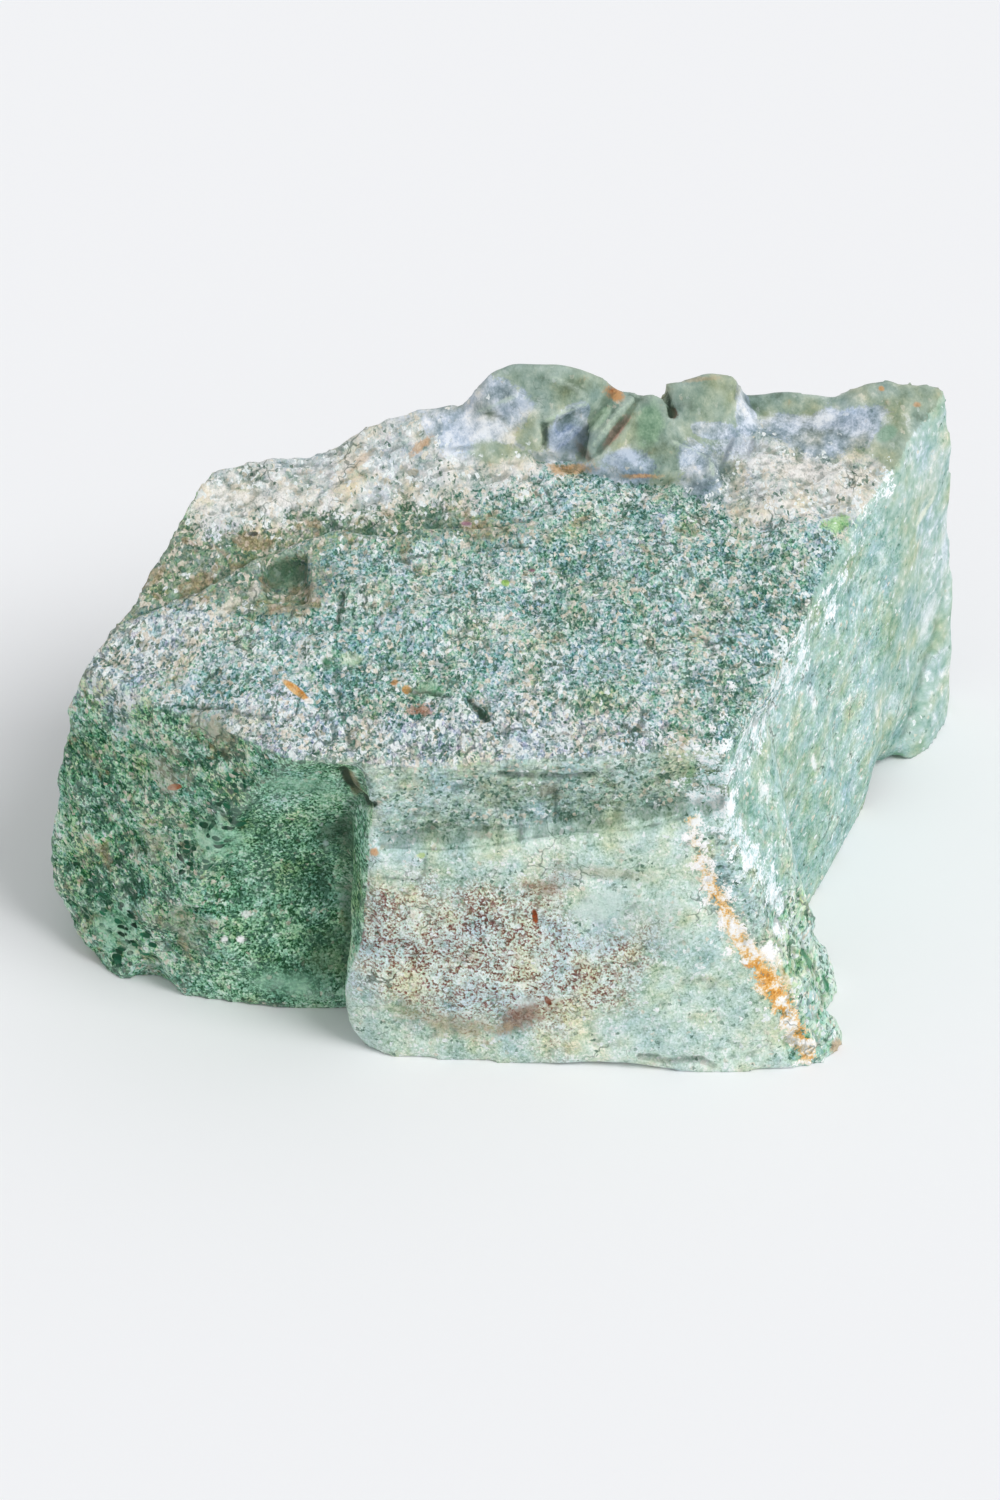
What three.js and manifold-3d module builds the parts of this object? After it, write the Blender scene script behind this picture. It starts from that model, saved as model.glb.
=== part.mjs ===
// Raw zeolite: one broken block of green stone, resting on its flat underside.
// Millimetres, +Z up. X runs along the stone's long side, Y from its front face to its back.
// The origin is under the middle of the stone, at the level of the table.
import * as THREE from 'three';
import { ConvexGeometry } from 'three/addons/geometries/ConvexGeometry.js';
import { ImprovedNoise } from 'three/addons/math/ImprovedNoise.js';
import { mergeVertices } from 'three/addons/utils/BufferGeometryUtils.js';
import Module from 'manifold-3d';

// Driving dimensions. Corners below are for a stone of SURVEYED_LENGTH, and SCALE takes them to STONE_LENGTH.
const SURVEYED_LENGTH = 85;
const STONE_LENGTH = 85;
const SCALE = STONE_LENGTH / SURVEYED_LENGTH;

// The top is the face of one bed of the rock. It climbs to the back, and falls away near the left end.
const RIM_HEIGHT = 30; // above the front face, which is at RIM_Y
const RIM_Y = -25;
const CLIMB = 0.085;
const FALL = 0.09;
const FALL_START = -15;

// The bed's broken edge, which crosses the top, and the pit beside it.
const STEP_DEPTH = 1.3;
const TROUGH_WIDTH = 8.5; // from the foot of the step to where the top is back at its full height
const STEP_LEAN = 0.9; // how far the step's foot lies behind its lip
const PIT_DEPTH = 2;

// The rough of a broken face: wide swells with smaller bumps on them.
const SWELL_HEIGHT = 0.63;
const SWELL_WIDTH = 8;
const BUMP_HEIGHT = 0.34;
const BUMP_WIDTH = 3.1;
const BASE_CLEAR = 2; // the rough fades in over this height above the table

// How finely the lumps are divided before the rough moves their corners.
const MOST_EDGE = 5;
const ROUNDS = 6; // of splitting, which bring the longest edge under MOST_EDGE
const FLAT = Math.cos(THREE.MathUtils.degToRad(9)); // faces that turn less than this are one face of the rock
const BALL_DETAIL = 3;

const MERGE = 1e-3;
const OVER = 0.2; // a cutting lump's edge lies this far outside the surface it cuts
const CLEAR = 3; // and its top this far

const wasm = await Module();
wasm.setup();
const noise = new ImprovedNoise();

// A geometry's corners and faces, each shared corner kept once.
function meshOf(geometry) {
  const bare = geometry.clone();
  bare.deleteAttribute('normal');
  bare.deleteAttribute('uv');
  const merged = mergeVertices(bare, MERGE);
  const points = [];
  for (let i = 0; i < merged.attributes.position.count; i += 1) {
    points.push(new THREE.Vector3().fromBufferAttribute(merged.attributes.position, i));
  }
  const faces = [];
  for (let i = 0; i < merged.index.count; i += 3) {
    faces.push([0, 1, 2].map((corner) => merged.index.getX(i + corner)));
  }
  return { points, faces };
}

function solidOf({ points, faces }) {
  return new wasm.Manifold(new wasm.Mesh({
    numProp: 3,
    vertProperties: new Float32Array(points.flatMap((point) => point.toArray())),
    triVerts: new Uint32Array(faces.flat()),
  }));
}

const edgeName = (a, b) => `${Math.min(a, b)} ${Math.max(a, b)}`;

// Splits every long edge of a closed mesh at its middle, for both of the faces beside it.
function splitLongEdges({ points, faces }, most) {
  const middles = new Map();
  const middleOf = (a, b) => {
    const name = edgeName(a, b);
    if (!middles.has(name)) {
      const long = points[a].distanceTo(points[b]) > most;
      middles.set(name, long ? points.push(points[a].clone().lerp(points[b], 0.5)) - 1 : null);
    }
    return middles.get(name);
  };
  const split = faces.flatMap((face) => {
    const own = face.map((a, i) => middleOf(a, face[(i + 1) % 3]));
    return splitFace(face, own, points);
  });
  return { points, faces: split };
}

// One face as the faces that the middles of its split edges make of it.
function splitFace([a, b, c], [ab, bc, ca], points) {
  if (ab !== null && bc !== null && ca !== null) {
    return [[a, ab, ca], [ab, b, bc], [ca, bc, c], [ab, bc, ca]];
  }
  if (ab !== null && bc !== null) {
    const across = points[a].distanceTo(points[bc]) < points[c].distanceTo(points[ab]);
    return across ? [[ab, b, bc], [a, ab, bc], [a, bc, c]] : [[ab, b, bc], [a, ab, c], [ab, bc, c]];
  }
  if (ab !== null && ca === null) {
    return [[a, ab, c], [ab, b, c]];
  }
  if (ab === null && bc === null && ca === null) {
    return [[a, b, c]];
  }
  return splitFace([b, c, a], [bc, ca, ab], points);
}

function normalOf([a, b, c], points) {
  const side = points[b].clone().sub(points[a]);
  return side.cross(points[c].clone().sub(points[a])).normalize();
}

function angleAt(corner, a, b, points) {
  return points[a].clone().sub(points[corner]).angleTo(points[b].clone().sub(points[corner]));
}

// Turns the edge between two faces in one plane the other way where that makes them less thin.
function turnEdges({ points, faces }) {
  const beside = new Map();
  faces.forEach((face, i) => {
    face.forEach((a, k) => {
      const name = edgeName(a, face[(k + 1) % 3]);
      beside.set(name, [...(beside.get(name) ?? []), i]);
    });
  });
  const names = new Set(beside.keys());
  const touched = new Set();
  beside.forEach(([first, second]) => {
    if (touched.has(first) || touched.has(second)) {
      return;
    }
    const lone = faces[first].findIndex((corner) => !faces[second].includes(corner));
    const [c, a, b] = [0, 1, 2].map((k) => faces[first][(lone + k) % 3]);
    const d = faces[second].find((corner) => !faces[first].includes(corner));
    const flatEnough = normalOf(faces[first], points).dot(normalOf(faces[second], points)) > FLAT;
    const thin = angleAt(c, a, b, points) + angleAt(d, a, b, points) > Math.PI + MERGE;
    if (!flatEnough || !thin || names.has(edgeName(c, d))) {
      return;
    }
    faces[first] = [a, d, c];
    faces[second] = [d, b, c];
    names.delete(edgeName(a, b));
    names.add(edgeName(c, d));
    touched.add(first).add(second);
  });
  return { points, faces };
}

// How far the rough lifts a point of a broken face. The table side stays flat.
function roughness({ x, y, z }) {
  const swells = SWELL_HEIGHT * noise.noise(x / SWELL_WIDTH, y / SWELL_WIDTH, z / SWELL_WIDTH);
  const bumps = BUMP_HEIGHT * noise.noise(x / BUMP_WIDTH, y / BUMP_WIDTH, z / BUMP_WIDTH);
  return (swells + bumps) * THREE.MathUtils.smoothstep(z, 0, BASE_CLEAR);
}

// A closed mesh in finer facets, with its corners moved by the rough.
function roughened(mesh) {
  let { points, faces } = mesh;
  for (let round = 0; round < ROUNDS; round += 1) {
    ({ points, faces } = turnEdges(turnEdges(splitLongEdges({ points, faces }, MOST_EDGE))));
  }
  const geometry = new THREE.BufferGeometry().setFromPoints(points);
  geometry.setIndex(faces.flat());
  geometry.computeVertexNormals();
  const lifted = points.map((point, i) => {
    const out = new THREE.Vector3().fromBufferAttribute(geometry.attributes.normal, i);
    return point.clone().addScaledVector(out, roughness(point));
  });
  return { points: lifted, faces };
}

const hull = (corners) => meshOf(new ConvexGeometry(corners.map((corner) => new THREE.Vector3(...corner))));

// The lump of rock that these corners span, with rough faces.
const lump = (...corners) => solidOf(roughened(hull(corners)));

// The same with smooth faces, as a crystal has.
const smoothLump = (...corners) => solidOf(hull(corners));

// A rounded hollow, as a blow leaves in fine-grained stone.
function scoop(centre, radii, lean = 0) {
  const shape = new THREE.IcosahedronGeometry(1, BALL_DETAIL);
  const turn = new THREE.Quaternion().setFromEuler(new THREE.Euler(0, 0, THREE.MathUtils.degToRad(lean)));
  const place = new THREE.Matrix4().compose(new THREE.Vector3(...centre), turn, new THREE.Vector3(...radii));
  return solidOf(roughened(meshOf(shape.applyMatrix4(place))));
}

const join = (solids) => solids.reduce((all, one) => all.add(one));
const cut = (solid, chips) => chips.reduce((left, chip) => left.subtract(chip), solid);

// Height of the top over a point of the table.
function topHeight(x, y) {
  return RIM_HEIGHT + CLIMB * (y - RIM_Y) - FALL * Math.max(0, FALL_START - x);
}

// Corners that the slab and the front block share.
const frontRight = [17.3, -24.8, 30];
const blockLeft = [-11.6, -25.6, 29.5];
const notchBase = [27.7, -8.2, 0];

// The slab that makes up most of the stone, by the corners of each of its sides.
function slab() {
  const frontRim = [frontRight, [2.6, -26, 30], blockLeft, [-17.3, -24.4, 29.5], [-22.6, -20.6, 29.5]];
  const leftRim = [
    [-28, -16.6, 29.1], [-33, -12.5, 28.8], [-37, -8.7, 28.3], [-35.7, -5, 29], [-33.8, -1, 29.9],
    [-31.7, 4.1, 30.7], [-29.2, 10.6, 31.7], [-26.6, 18, 32.9], [-21, 19.6, 33.2],
  ];
  const rightRim = [[21.5, -15.5, 30.7], [26.9, -3.6, 31.7], [35.1, 14.3, 33.2], [42, 29.8, 33.9]];
  const backRim = [[-10.7, 23, 33.9], [9, 27.5, 34.1], [24, 30, 33.9], [33, 30.4, 34.1]];
  const leftEnd = [
    [-38.6, -9, 24], [-40.2, -8.8, 17], [-41.1, -9.6, 8], [-39.5, -11.8, 3], [-38.8, 0, 5], [-33.5, 12, 7],
    [-27.5, 20.5, 14],
  ];
  const rightEnd = [[42.8, 29.8, 29.5], [43.4, 29.6, 24], [43.5, 28.3, 9.5]];
  const back = [[-8, 29.5, 10], [14, 32, 15], [36, 32.6, 11], [41, 31.6, 28]];
  const base = [
    [-36, -15.4, 0], [-34.6, -16.9, 0], [-30.8, -16.9, 0], [-29, -19.3, 0], [-20.8, -21.1, 0],
    [-13.5, -21.2, 0], notchBase, [32.5, 4.5, 0], [35.4, 11.7, 0], [41, 26, 0], [33, 30, 0],
    [14, 30.5, 0], [-6, 28, 0], [-24, 21, 0], [-35, 5, 0],
  ];
  return lump(...frontRim, ...leftRim, ...rightRim, ...backRim, ...leftEnd, ...rightEnd, ...back, ...base);
}

// The block that stands proud in front, and spreads out to the right at its foot.
function frontBlock() {
  const top = [frontRight, blockLeft, [-12.4, -14, 28], [23, -10, 29]];
  const ledge = [[-11.5, -26.5, 21], [5.2, -26.9, 22.4], [16.6, -25.6, 24]];
  const leftEdge = [[-12.8, -25.7, 12], [-13.5, -26.5, 6], [-13.2, -26.6, 2.5]];
  const base = [
    [-12.1, -26.6, 0], [-9.8, -28.2, 0], [-4.5, -28.1, 0], [8.9, -29, 0], [16.9, -30.6, 0], [25.5, -30.2, 0],
    [28.9, -29, 0], [29.6, -24, 0], [28.6, -16, 0], notchBase, [-12.4, -14, 0], [20, -9, 0],
  ];
  return lump(...top, ...ledge, ...leftEdge, ...base);
}

// The knobbly foot of the sloping right face of the front block.
function foot() {
  const heel = lump(
    [28.2, -12, 0], [30.3, -15.2, 0], [30.8, -18.6, 0], [29.8, -21.5, 0], [26, -14, 0], [26, -22, 0],
    [28.2, -14.5, 4.2], [29.4, -18, 3.6], [28, -20.5, 4], [26, -16, 6.5], [25, -20, 6],
  );
  const toe = lump(
    [29.6, -22.5, 0], [31, -25.4, 0], [30.4, -27.4, 0], [28.8, -29, 0], [26, -24, 0],
    [29.8, -24.6, 2], [29.6, -27, 1.8], [28, -24, 4], [27.2, -27, 3.4],
  );
  return join([heel, toe]);
}

// The swollen base at the right end of the back.
function rightSwell() {
  return lump(
    [38.8, 17, 0], [41.6, 19.6, 0], [43.6, 24, 0], [44.4, 29.4, 0], [40, 31, 0], [34, 22, 0],
    [41.2, 20.4, 3.4], [43.8, 25, 4.5], [44.2, 29, 4], [43.6, 28.4, 9.5], [38.5, 20, 6], [36, 26, 9],
    [43.7, 28.6, 15], [40, 28, 17],
  );
}

// The low swell of the top at its right back corner.
function cornerRise() {
  return lump(
    [32.4, 30, 34], [35, 30.2, 35], [38.9, 30, 35.8], [41.3, 29.8, 35], [42.1, 29.6, 33.8],
    [31, 24, 33.6], [35.5, 24.4, 34.5], [39.4, 25.6, 34.6], [35, 17.5, 33.3], [37, 18.6, 33.5],
    [32, 29.6, 27], [41, 29.4, 24], [35, 18, 29], [41, 26.5, 26],
  );
}

// The broken crystals that crown the back of the top.
function crown() {
  const dome = smoothLump(
    [-3.3, 24.7, 36.3], [-2.2, 24.5, 38], [-0.9, 24.3, 39.6], [1.4, 24.6, 40.5], [5.6, 24.4, 40.5],
    [8.2, 24.4, 39.7], [9.8, 24.6, 38.8], [11.6, 25, 36.8], [5.2, 22.9, 39.6], [7.6, 22, 38.2], [8, 21.4, 37],
    [4, 20.6, 36.9], [3.6, 19.4, 35.2], [4.2, 18.8, 33], [-2.6, 23, 36.6], [2, 22.6, 38.7],
    [-2.8, 19.4, 33.4],
    [-3.4, 26.6, 34], [0, 27.4, 38], [7, 27.8, 38], [11.6, 28, 34], [-2.4, 25.6, 26], [11, 27, 26],
  );
  const recess = smoothLump(
    [4.6, 20.4, 38.6], [8.4, 22.4, 38.6], [9.6, 20.4, 38], [4.4, 17.4, 37.8], [9.6, 17.2, 37.8],
    [5.2, 21, 35.6], [8.2, 21.6, 35.9], [5, 18, 33.9], [8.4, 18.4, 34.4],
  );
  const middleRidge = smoothLump(
    [12.8, 25.6, 36.6], [11.2, 24.6, 37.5], [10, 22.2, 37.1], [8.2, 19.8, 35.9], [7.9, 18.6, 35],
    [9.6, 17.2, 33.8],
    [12.6, 22.5, 36.8], [11.6, 19.4, 35.6], [10, 28, 34], [13, 28, 34], [8, 18, 32], [12, 19, 32],
  );
  const greenFacet = smoothLump(
    [12.2, 25.4, 36.4], [15.2, 23.6, 36.7], [16.6, 21.6, 36], [17.2, 18.4, 34.9], [16.9, 16, 33.9],
    [11.4, 21.5, 36], [10.4, 17.4, 34.4], [12.8, 16, 33.6], [13, 27.5, 33.6], [17, 26, 33.6],
    [11, 17, 32], [17, 16, 32],
  );
  const knob = smoothLump(
    [15.4, 26, 36.6], [17.2, 26.3, 37.6], [19.2, 26.7, 38.1], [22, 26.5, 38], [22.5, 26.3, 36.6],
    [17, 23, 36.6], [19, 21.6, 35.9], [22.6, 22.4, 35.5], [15.6, 28.4, 34.4], [23.4, 29, 34.2],
    [17, 20.4, 33], [23.2, 20.8, 33.4], [20, 29, 36.8], [16.4, 27.6, 27], [23, 28.6, 27],
  );
  const flake = smoothLump(
    [16.5, 19.4, 35.2], [17.6, 20, 35.4], [19.9, 17.8, 35], [20, 15.4, 34], [18.4, 15, 33.8],
    [16.6, 17, 34.2], [17, 16, 31], [20, 19, 31],
  );
  const leftRise = smoothLump(
    [-15.6, 19.8, 33.7], [-12.4, 22.6, 34.9], [-8.6, 24, 35.7], [-4.4, 25, 36.1], [-2.4, 22.4, 36.2],
    [-6.2, 19.8, 34.8], [-4.8, 14.4, 33], [-11.4, 14.8, 32.6], [2.6, 19.2, 34.4], [4, 15.4, 33.2],
    [-14, 24, 31], [-2.4, 26.4, 31], [-14, 16, 30], [3, 16, 30],
  );
  return join([leftRise, cut(dome, [recess]), middleRidge, greenFacet, knob, flake]);
}

// The dark band over the ledge lies back from the pale face below it.
function bandChip() {
  return lump(
    [-15, -25.1, 21.1], [5.2, -25.2, 22.3], [19.5, -23.6, 24.4],
    [-15, -29, 21.1], [5.2, -29, 22.3], [19.5, -29, 24.4],
    [-15, -25.3, 34], [2.6, -25.6, 34], [19.5, -23.8, 34], [-15, -29, 34], [19.5, -29, 34],
  );
}

// One length of the trough behind the bed's broken edge. A station is x, y and a share of the full depth.
function troughLength(from, to) {
  const corners = [from, to].flatMap(([x, y, share]) => {
    const lip = topHeight(x, y);
    const far = y + STEP_LEAN + TROUGH_WIDTH;
    return [
      [x, y, lip + OVER],
      [x, y - STEP_LEAN, lip + CLEAR],
      [x, y + STEP_LEAN, lip - STEP_DEPTH * share],
      [x, far, topHeight(x, far) + OVER],
      [x, far, lip + CLEAR],
    ];
  });
  return smoothLump(...corners);
}

function trough() {
  const stations = [
    [-40, -7, 0.5], [-32.5, -2.6, 1], [-27.3, 0.4, 1], [-21.5, 5.4, 1.2], [-15.1, 7.8, 1],
    [-9.7, 6.8, 0.9], [-5.8, 8, 0.9], [-1.7, 7.4, 0.6], [5.5, 10.4, 0],
  ];
  const lengths = stations.slice(1).map((station, i) => troughLength(stations[i], station));
  return join(lengths);
}

// The pit in front of the step, steep on its right and running out to its left.
function pit() {
  const mouth = [[-22.2, 5.6], [-17, 6], [-16.6, -2.6], [-19.3, -3.6], [-22, -1.4]];
  const floor = [[-21, 4.6, 0.9], [-17.7, 5, 1], [-17.4, -1.6, 0.9], [-19.2, -2.2, 0.6], [-21, -0.8, 0.6]];
  return smoothLump(
    ...mouth.map(([x, y]) => [x, y, topHeight(x, y) + CLEAR / 2]),
    ...floor.map(([x, y, share]) => [x, y, topHeight(x, y) - PIT_DEPTH * share]),
  );
}

// Flakes that came off the rims, the base and the faces that the front view doesn't show.
function flakes() {
  const backScoop = scoop([-8, 48.5, 8], [24, 22.5, 17], 10);
  const backShelf = lump(
    [-20, 25, 17], [3, 27.2, 18], [27, 31, 22.5], [-22, 38, 16], [30, 42, 20],
    [-24, 24, 38], [0, 26, 38], [33, 31.4, 38], [-24, 38, 38], [33, 42, 38],
  );
  const backSplit = lump(
    [24, 30.4, 36], [45, 27.4, 36], [45, 38, 36], [24, 38, 36], [30, 33.6, 9], [46, 30.6, 13], [46, 38, 10],
  );
  const leftBackSplit = lump(
    [-40, 7, 34], [-20, 24, 34], [-40, 26, 34], [-41, 7, 12], [-27, 22.5, 9], [-40, 26, 6],
  );
  const leftScoop = scoop([-51.4, 6, 21], [14.5, 15, 12], 24);
  const leftBackHeel = scoop([-40, 19, 1], [12, 9, 8], 30);
  const rightScoop = scoop([57.6, 12, 15], [17.4, 15, 13], -22);
  const cornerNick = scoop([-13.7, -30.5, 26.5], [2.6, 5.4, 4.4]);
  const underBlock = scoop([10, -31.8, -1.4], [9, 3.6, 2.6], -4);
  const swellNotch = scoop([34.8, 13.4, -1.5], [4, 3.4, 5.6], 20);
  const leftStep = scoop([-31.6, -19.6, 0.5], [2.6, 3.4, 4.2], 24);
  const rightRimFlake = lump(
    [22.6, -11.4, 30.4], [26.8, -2.5, 30.8], [34, 12.5, 32.6], [20, -12, 32.4], [24.9, -1.5, 32.9],
    [31.9, 12.5, 34.6], [28, -12, 31.4], [38, 6, 33.4],
  );
  return [
    backScoop, backShelf, backSplit, leftBackSplit, leftScoop, leftBackHeel, rightScoop, cornerNick,
    underBlock, swellNotch, leftStep, rightRimFlake,
  ];
}

function stone() {
  const hollow = scoop([-16, -41.8, 13], [32, 22.8, 26]);
  const body = join([cut(slab(), [hollow]), frontBlock(), rightSwell(), foot()]);
  const dressed = cut(body, [bandChip(), trough(), pit(), ...flakes()]);
  return join([dressed, cornerRise(), crown()]);
}

// The solid at its final size, over the origin, with flat facets.
function finished(solid) {
  const mesh = solid.getMesh();
  const geometry = new THREE.BufferGeometry();
  geometry.setAttribute('position', new THREE.BufferAttribute(Float32Array.from(mesh.vertProperties), 3));
  geometry.setIndex(new THREE.BufferAttribute(Uint32Array.from(mesh.triVerts), 1));
  geometry.scale(SCALE, SCALE, SCALE);
  geometry.computeBoundingBox();
  const { min, max } = geometry.boundingBox;
  geometry.translate(-(min.x + max.x) / 2, -(min.y + max.y) / 2, -min.z);
  const flat = geometry.toNonIndexed();
  flat.computeVertexNormals();
  return flat;
}

const zeolite = new THREE.Mesh(
  finished(stone()),
  new THREE.MeshStandardMaterial({ color: 0x8fb3a2, roughness: 0.85, metalness: 0 }),
);
zeolite.name = 'zeolite_stone';

const group = new THREE.Group();
group.add(zeolite);
export default group;
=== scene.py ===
# Looks of a raw zeolite stone: a broken block with a granular top, a pale front face over a ledge,
# a green hollow, a streaked right face and a crown of glassy crystals.

import math
from types import SimpleNamespace

import bmesh
import bpy
import numpy as np
from mathutils import Matrix, Vector, noise
from mathutils.bvhtree import BVHTree


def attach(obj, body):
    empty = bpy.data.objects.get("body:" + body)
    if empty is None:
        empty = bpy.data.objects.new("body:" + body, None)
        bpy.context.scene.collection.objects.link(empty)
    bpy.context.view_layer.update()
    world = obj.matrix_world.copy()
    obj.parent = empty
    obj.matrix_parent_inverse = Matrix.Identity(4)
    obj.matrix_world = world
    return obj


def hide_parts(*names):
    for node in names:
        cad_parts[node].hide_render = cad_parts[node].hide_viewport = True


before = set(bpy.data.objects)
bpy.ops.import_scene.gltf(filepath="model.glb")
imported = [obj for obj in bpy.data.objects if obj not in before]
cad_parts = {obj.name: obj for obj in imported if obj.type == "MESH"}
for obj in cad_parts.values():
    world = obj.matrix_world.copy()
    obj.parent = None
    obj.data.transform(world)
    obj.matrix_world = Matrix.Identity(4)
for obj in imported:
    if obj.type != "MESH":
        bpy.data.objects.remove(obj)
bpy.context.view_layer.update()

MM = 0.001

# The camera looks at the front from above. The photograph's frame is PHOTO_SIZE pixels.
PHOTO_SIZE = (1000, 1500)
ELEVATION = math.radians(35)
DISTANCE = 450 * MM
AIM = Vector((-1.55, -9.9, 20)) * MM
LENS = 120
SENSOR_HEIGHT = 36
PIXELS_PER_TANGENT = LENS / SENSOR_HEIGHT * PHOTO_SIZE[1]
FORWARD = Vector((0, math.cos(ELEVATION), -math.sin(ELEVATION)))
RIGHT = Vector((1, 0, 0))
UP = RIGHT.cross(FORWARD)
EYE = AIM - FORWARD * DISTANCE
PIXEL = DISTANCE / PIXELS_PER_TANGENT

# The surface mesh.
FACET = 0.44 * MM
MERGE = 0.001 * MM
EDGE_KEPT = 0.05  # mm; a place that would move further than this when the facets blend is a real edge

# How often the surface is averaged with its neighbours, from blending facets to melting them away.
FACET_ROUNDS = 4
FLECK_ROUNDS = 6
WEAR_ROUNDS = 12
BROAD_ROUNDS = 12
MELT_ROUNDS = 90

# Where the pixels of the photograph fall on the stone, and how far from them their kind of rock reaches.
PIXEL_SEARCH = range(0, 24, 2)  # how many pixels away the stone is looked for
TURN_COST = 9.0  # a turn of the surface by 60 degrees is as far as this many mm
RELIEF_BLEND = 0.8  # mm

# The rough of broken rock. A noise is its width in mm and a shift that sets it apart from the others, after
# its share where it is one of several.
SWELL_NOISE = [(1.0, 4.2, 0.0), (0.5, 2.0, 3.1)]
BUMP_NOISE = [(1.0, 1.15, 11.7), (0.7, 0.7, 5.9)]
FLAKE_NOISE = (5.5, 21.3)
FLAKE_LIE = (1, 1, 1.6)  # flakes lie flat, so their noise is squeezed upwards
FLAKE_STEPS = 3.2
FLAKE_FLAT = 0.72  # this share of a step is level
FLAKE_SHARE = 1.3
CHIP_NOISE = (2.6, 7.3)
CHIP_EDGE = (0.08, 0.3)  # mm that an edge stands out by, from whole to chipped
CHIP_SHARE = 0.4
CREASE_NOISE = (1.1, 2.2)
CREASE_JITTER = 0.12  # mm
CREASE_SIDE = 0.45  # mm that a crease's side is wide
NO_CREASE = -9.0  # mm
MELT_RIM = (0.6, 1.4)  # shares of a worn place's size, from all worn to none
BASE_FADE = (0.2, 2.0)  # mm above the floor, from no rough to all of it

# The grain of the rock. Grains look as tall as they are wide from the front, so they are longer in depth.
# Streaks lean to the left over the ledge, and run along the right face: their turn and stretch.
DEEP_GRAIN = (1, 0.6, 1)
GRAIN_SHAKE = (0.4, 0.2)
STREAKS = {
    "leaning": ((0, math.radians(-28), 0), (0.28, 1, 1)),
    "running": ((0, math.radians(38), math.radians(-66)), (0.22, 1, 1)),
}

# Its seven patterns. Each: its size in mm, how much finer noise it holds, or None for single grains, and
# where it is drawn. The finest are as coarse as they have to be to show.
PATTERNS = [
    (0.22, None, "shaken"), (0.2, 2.0, "deep"), (1.4, 4.0, "deep"), (7.0, 3.0, "deep"), (0.5, 3.0, "leaning"),
    (0.5, None, "shaken"), (0.9, 4.0, "running"),
]
FINE_SHARE = 0.45
BLEND_GRAIN = (0.5, 0.2, 0.5, 0, 0, 0.2, 0)
GRIT_HEIGHT = 0.08 * MM

# The drift of its hue, single grains and stains: sizes in mm.
DRIFT_SIZE = 3.2
DRIFT_TINTS = [(0.3, "#E2EDFA"), (0.5, "#FFFFFF"), (0.7, "#FFF4DA")]
GRAIN_SIZE = 0.34
SMALL_GRAIN_SIZE = 0.26
STAIN_SIZE = 1.6
GRAIN_VARIETY = 0.26  # how much the hue differs from grain to grain

# Hair cracks, in mm.
CRACK_SPACING = 2.6
CRACK_LENGTH = 3.5
CRACK_WIDTH = 0.07
CRACK_SHAKE = (0.9, 0.7)
CRACK_COLOUR = "#2F4A3C"

# Painted shade in hollows, with some dark grit there, and a painted highlight on raised places. Each: how
# many rounds of averaging the surface is compared with, how many mm from it count as far, and how much
# painted shade and how much painted highlight covers those.
HOLLOW_SHADING = {"recess": (5, 0.07, 0.4, 0.12), "dip": (40, 0.5, 0.25, 0.0)}
# Colours of the painted shade in hollows and of the painted highlight on raised tops.
HOLLOW_SHADE_COLOUR = "#37543F"
TOP_HIGHLIGHT_COLOUR = "#E0EDE6"
# Colours of the painted shade in creases and of the painted highlight on ridges.
CREASE_SHADE_COLOUR = "#26382C"
RIDGE_HIGHLIGHT_COLOUR = "#C9DDC6"

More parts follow.
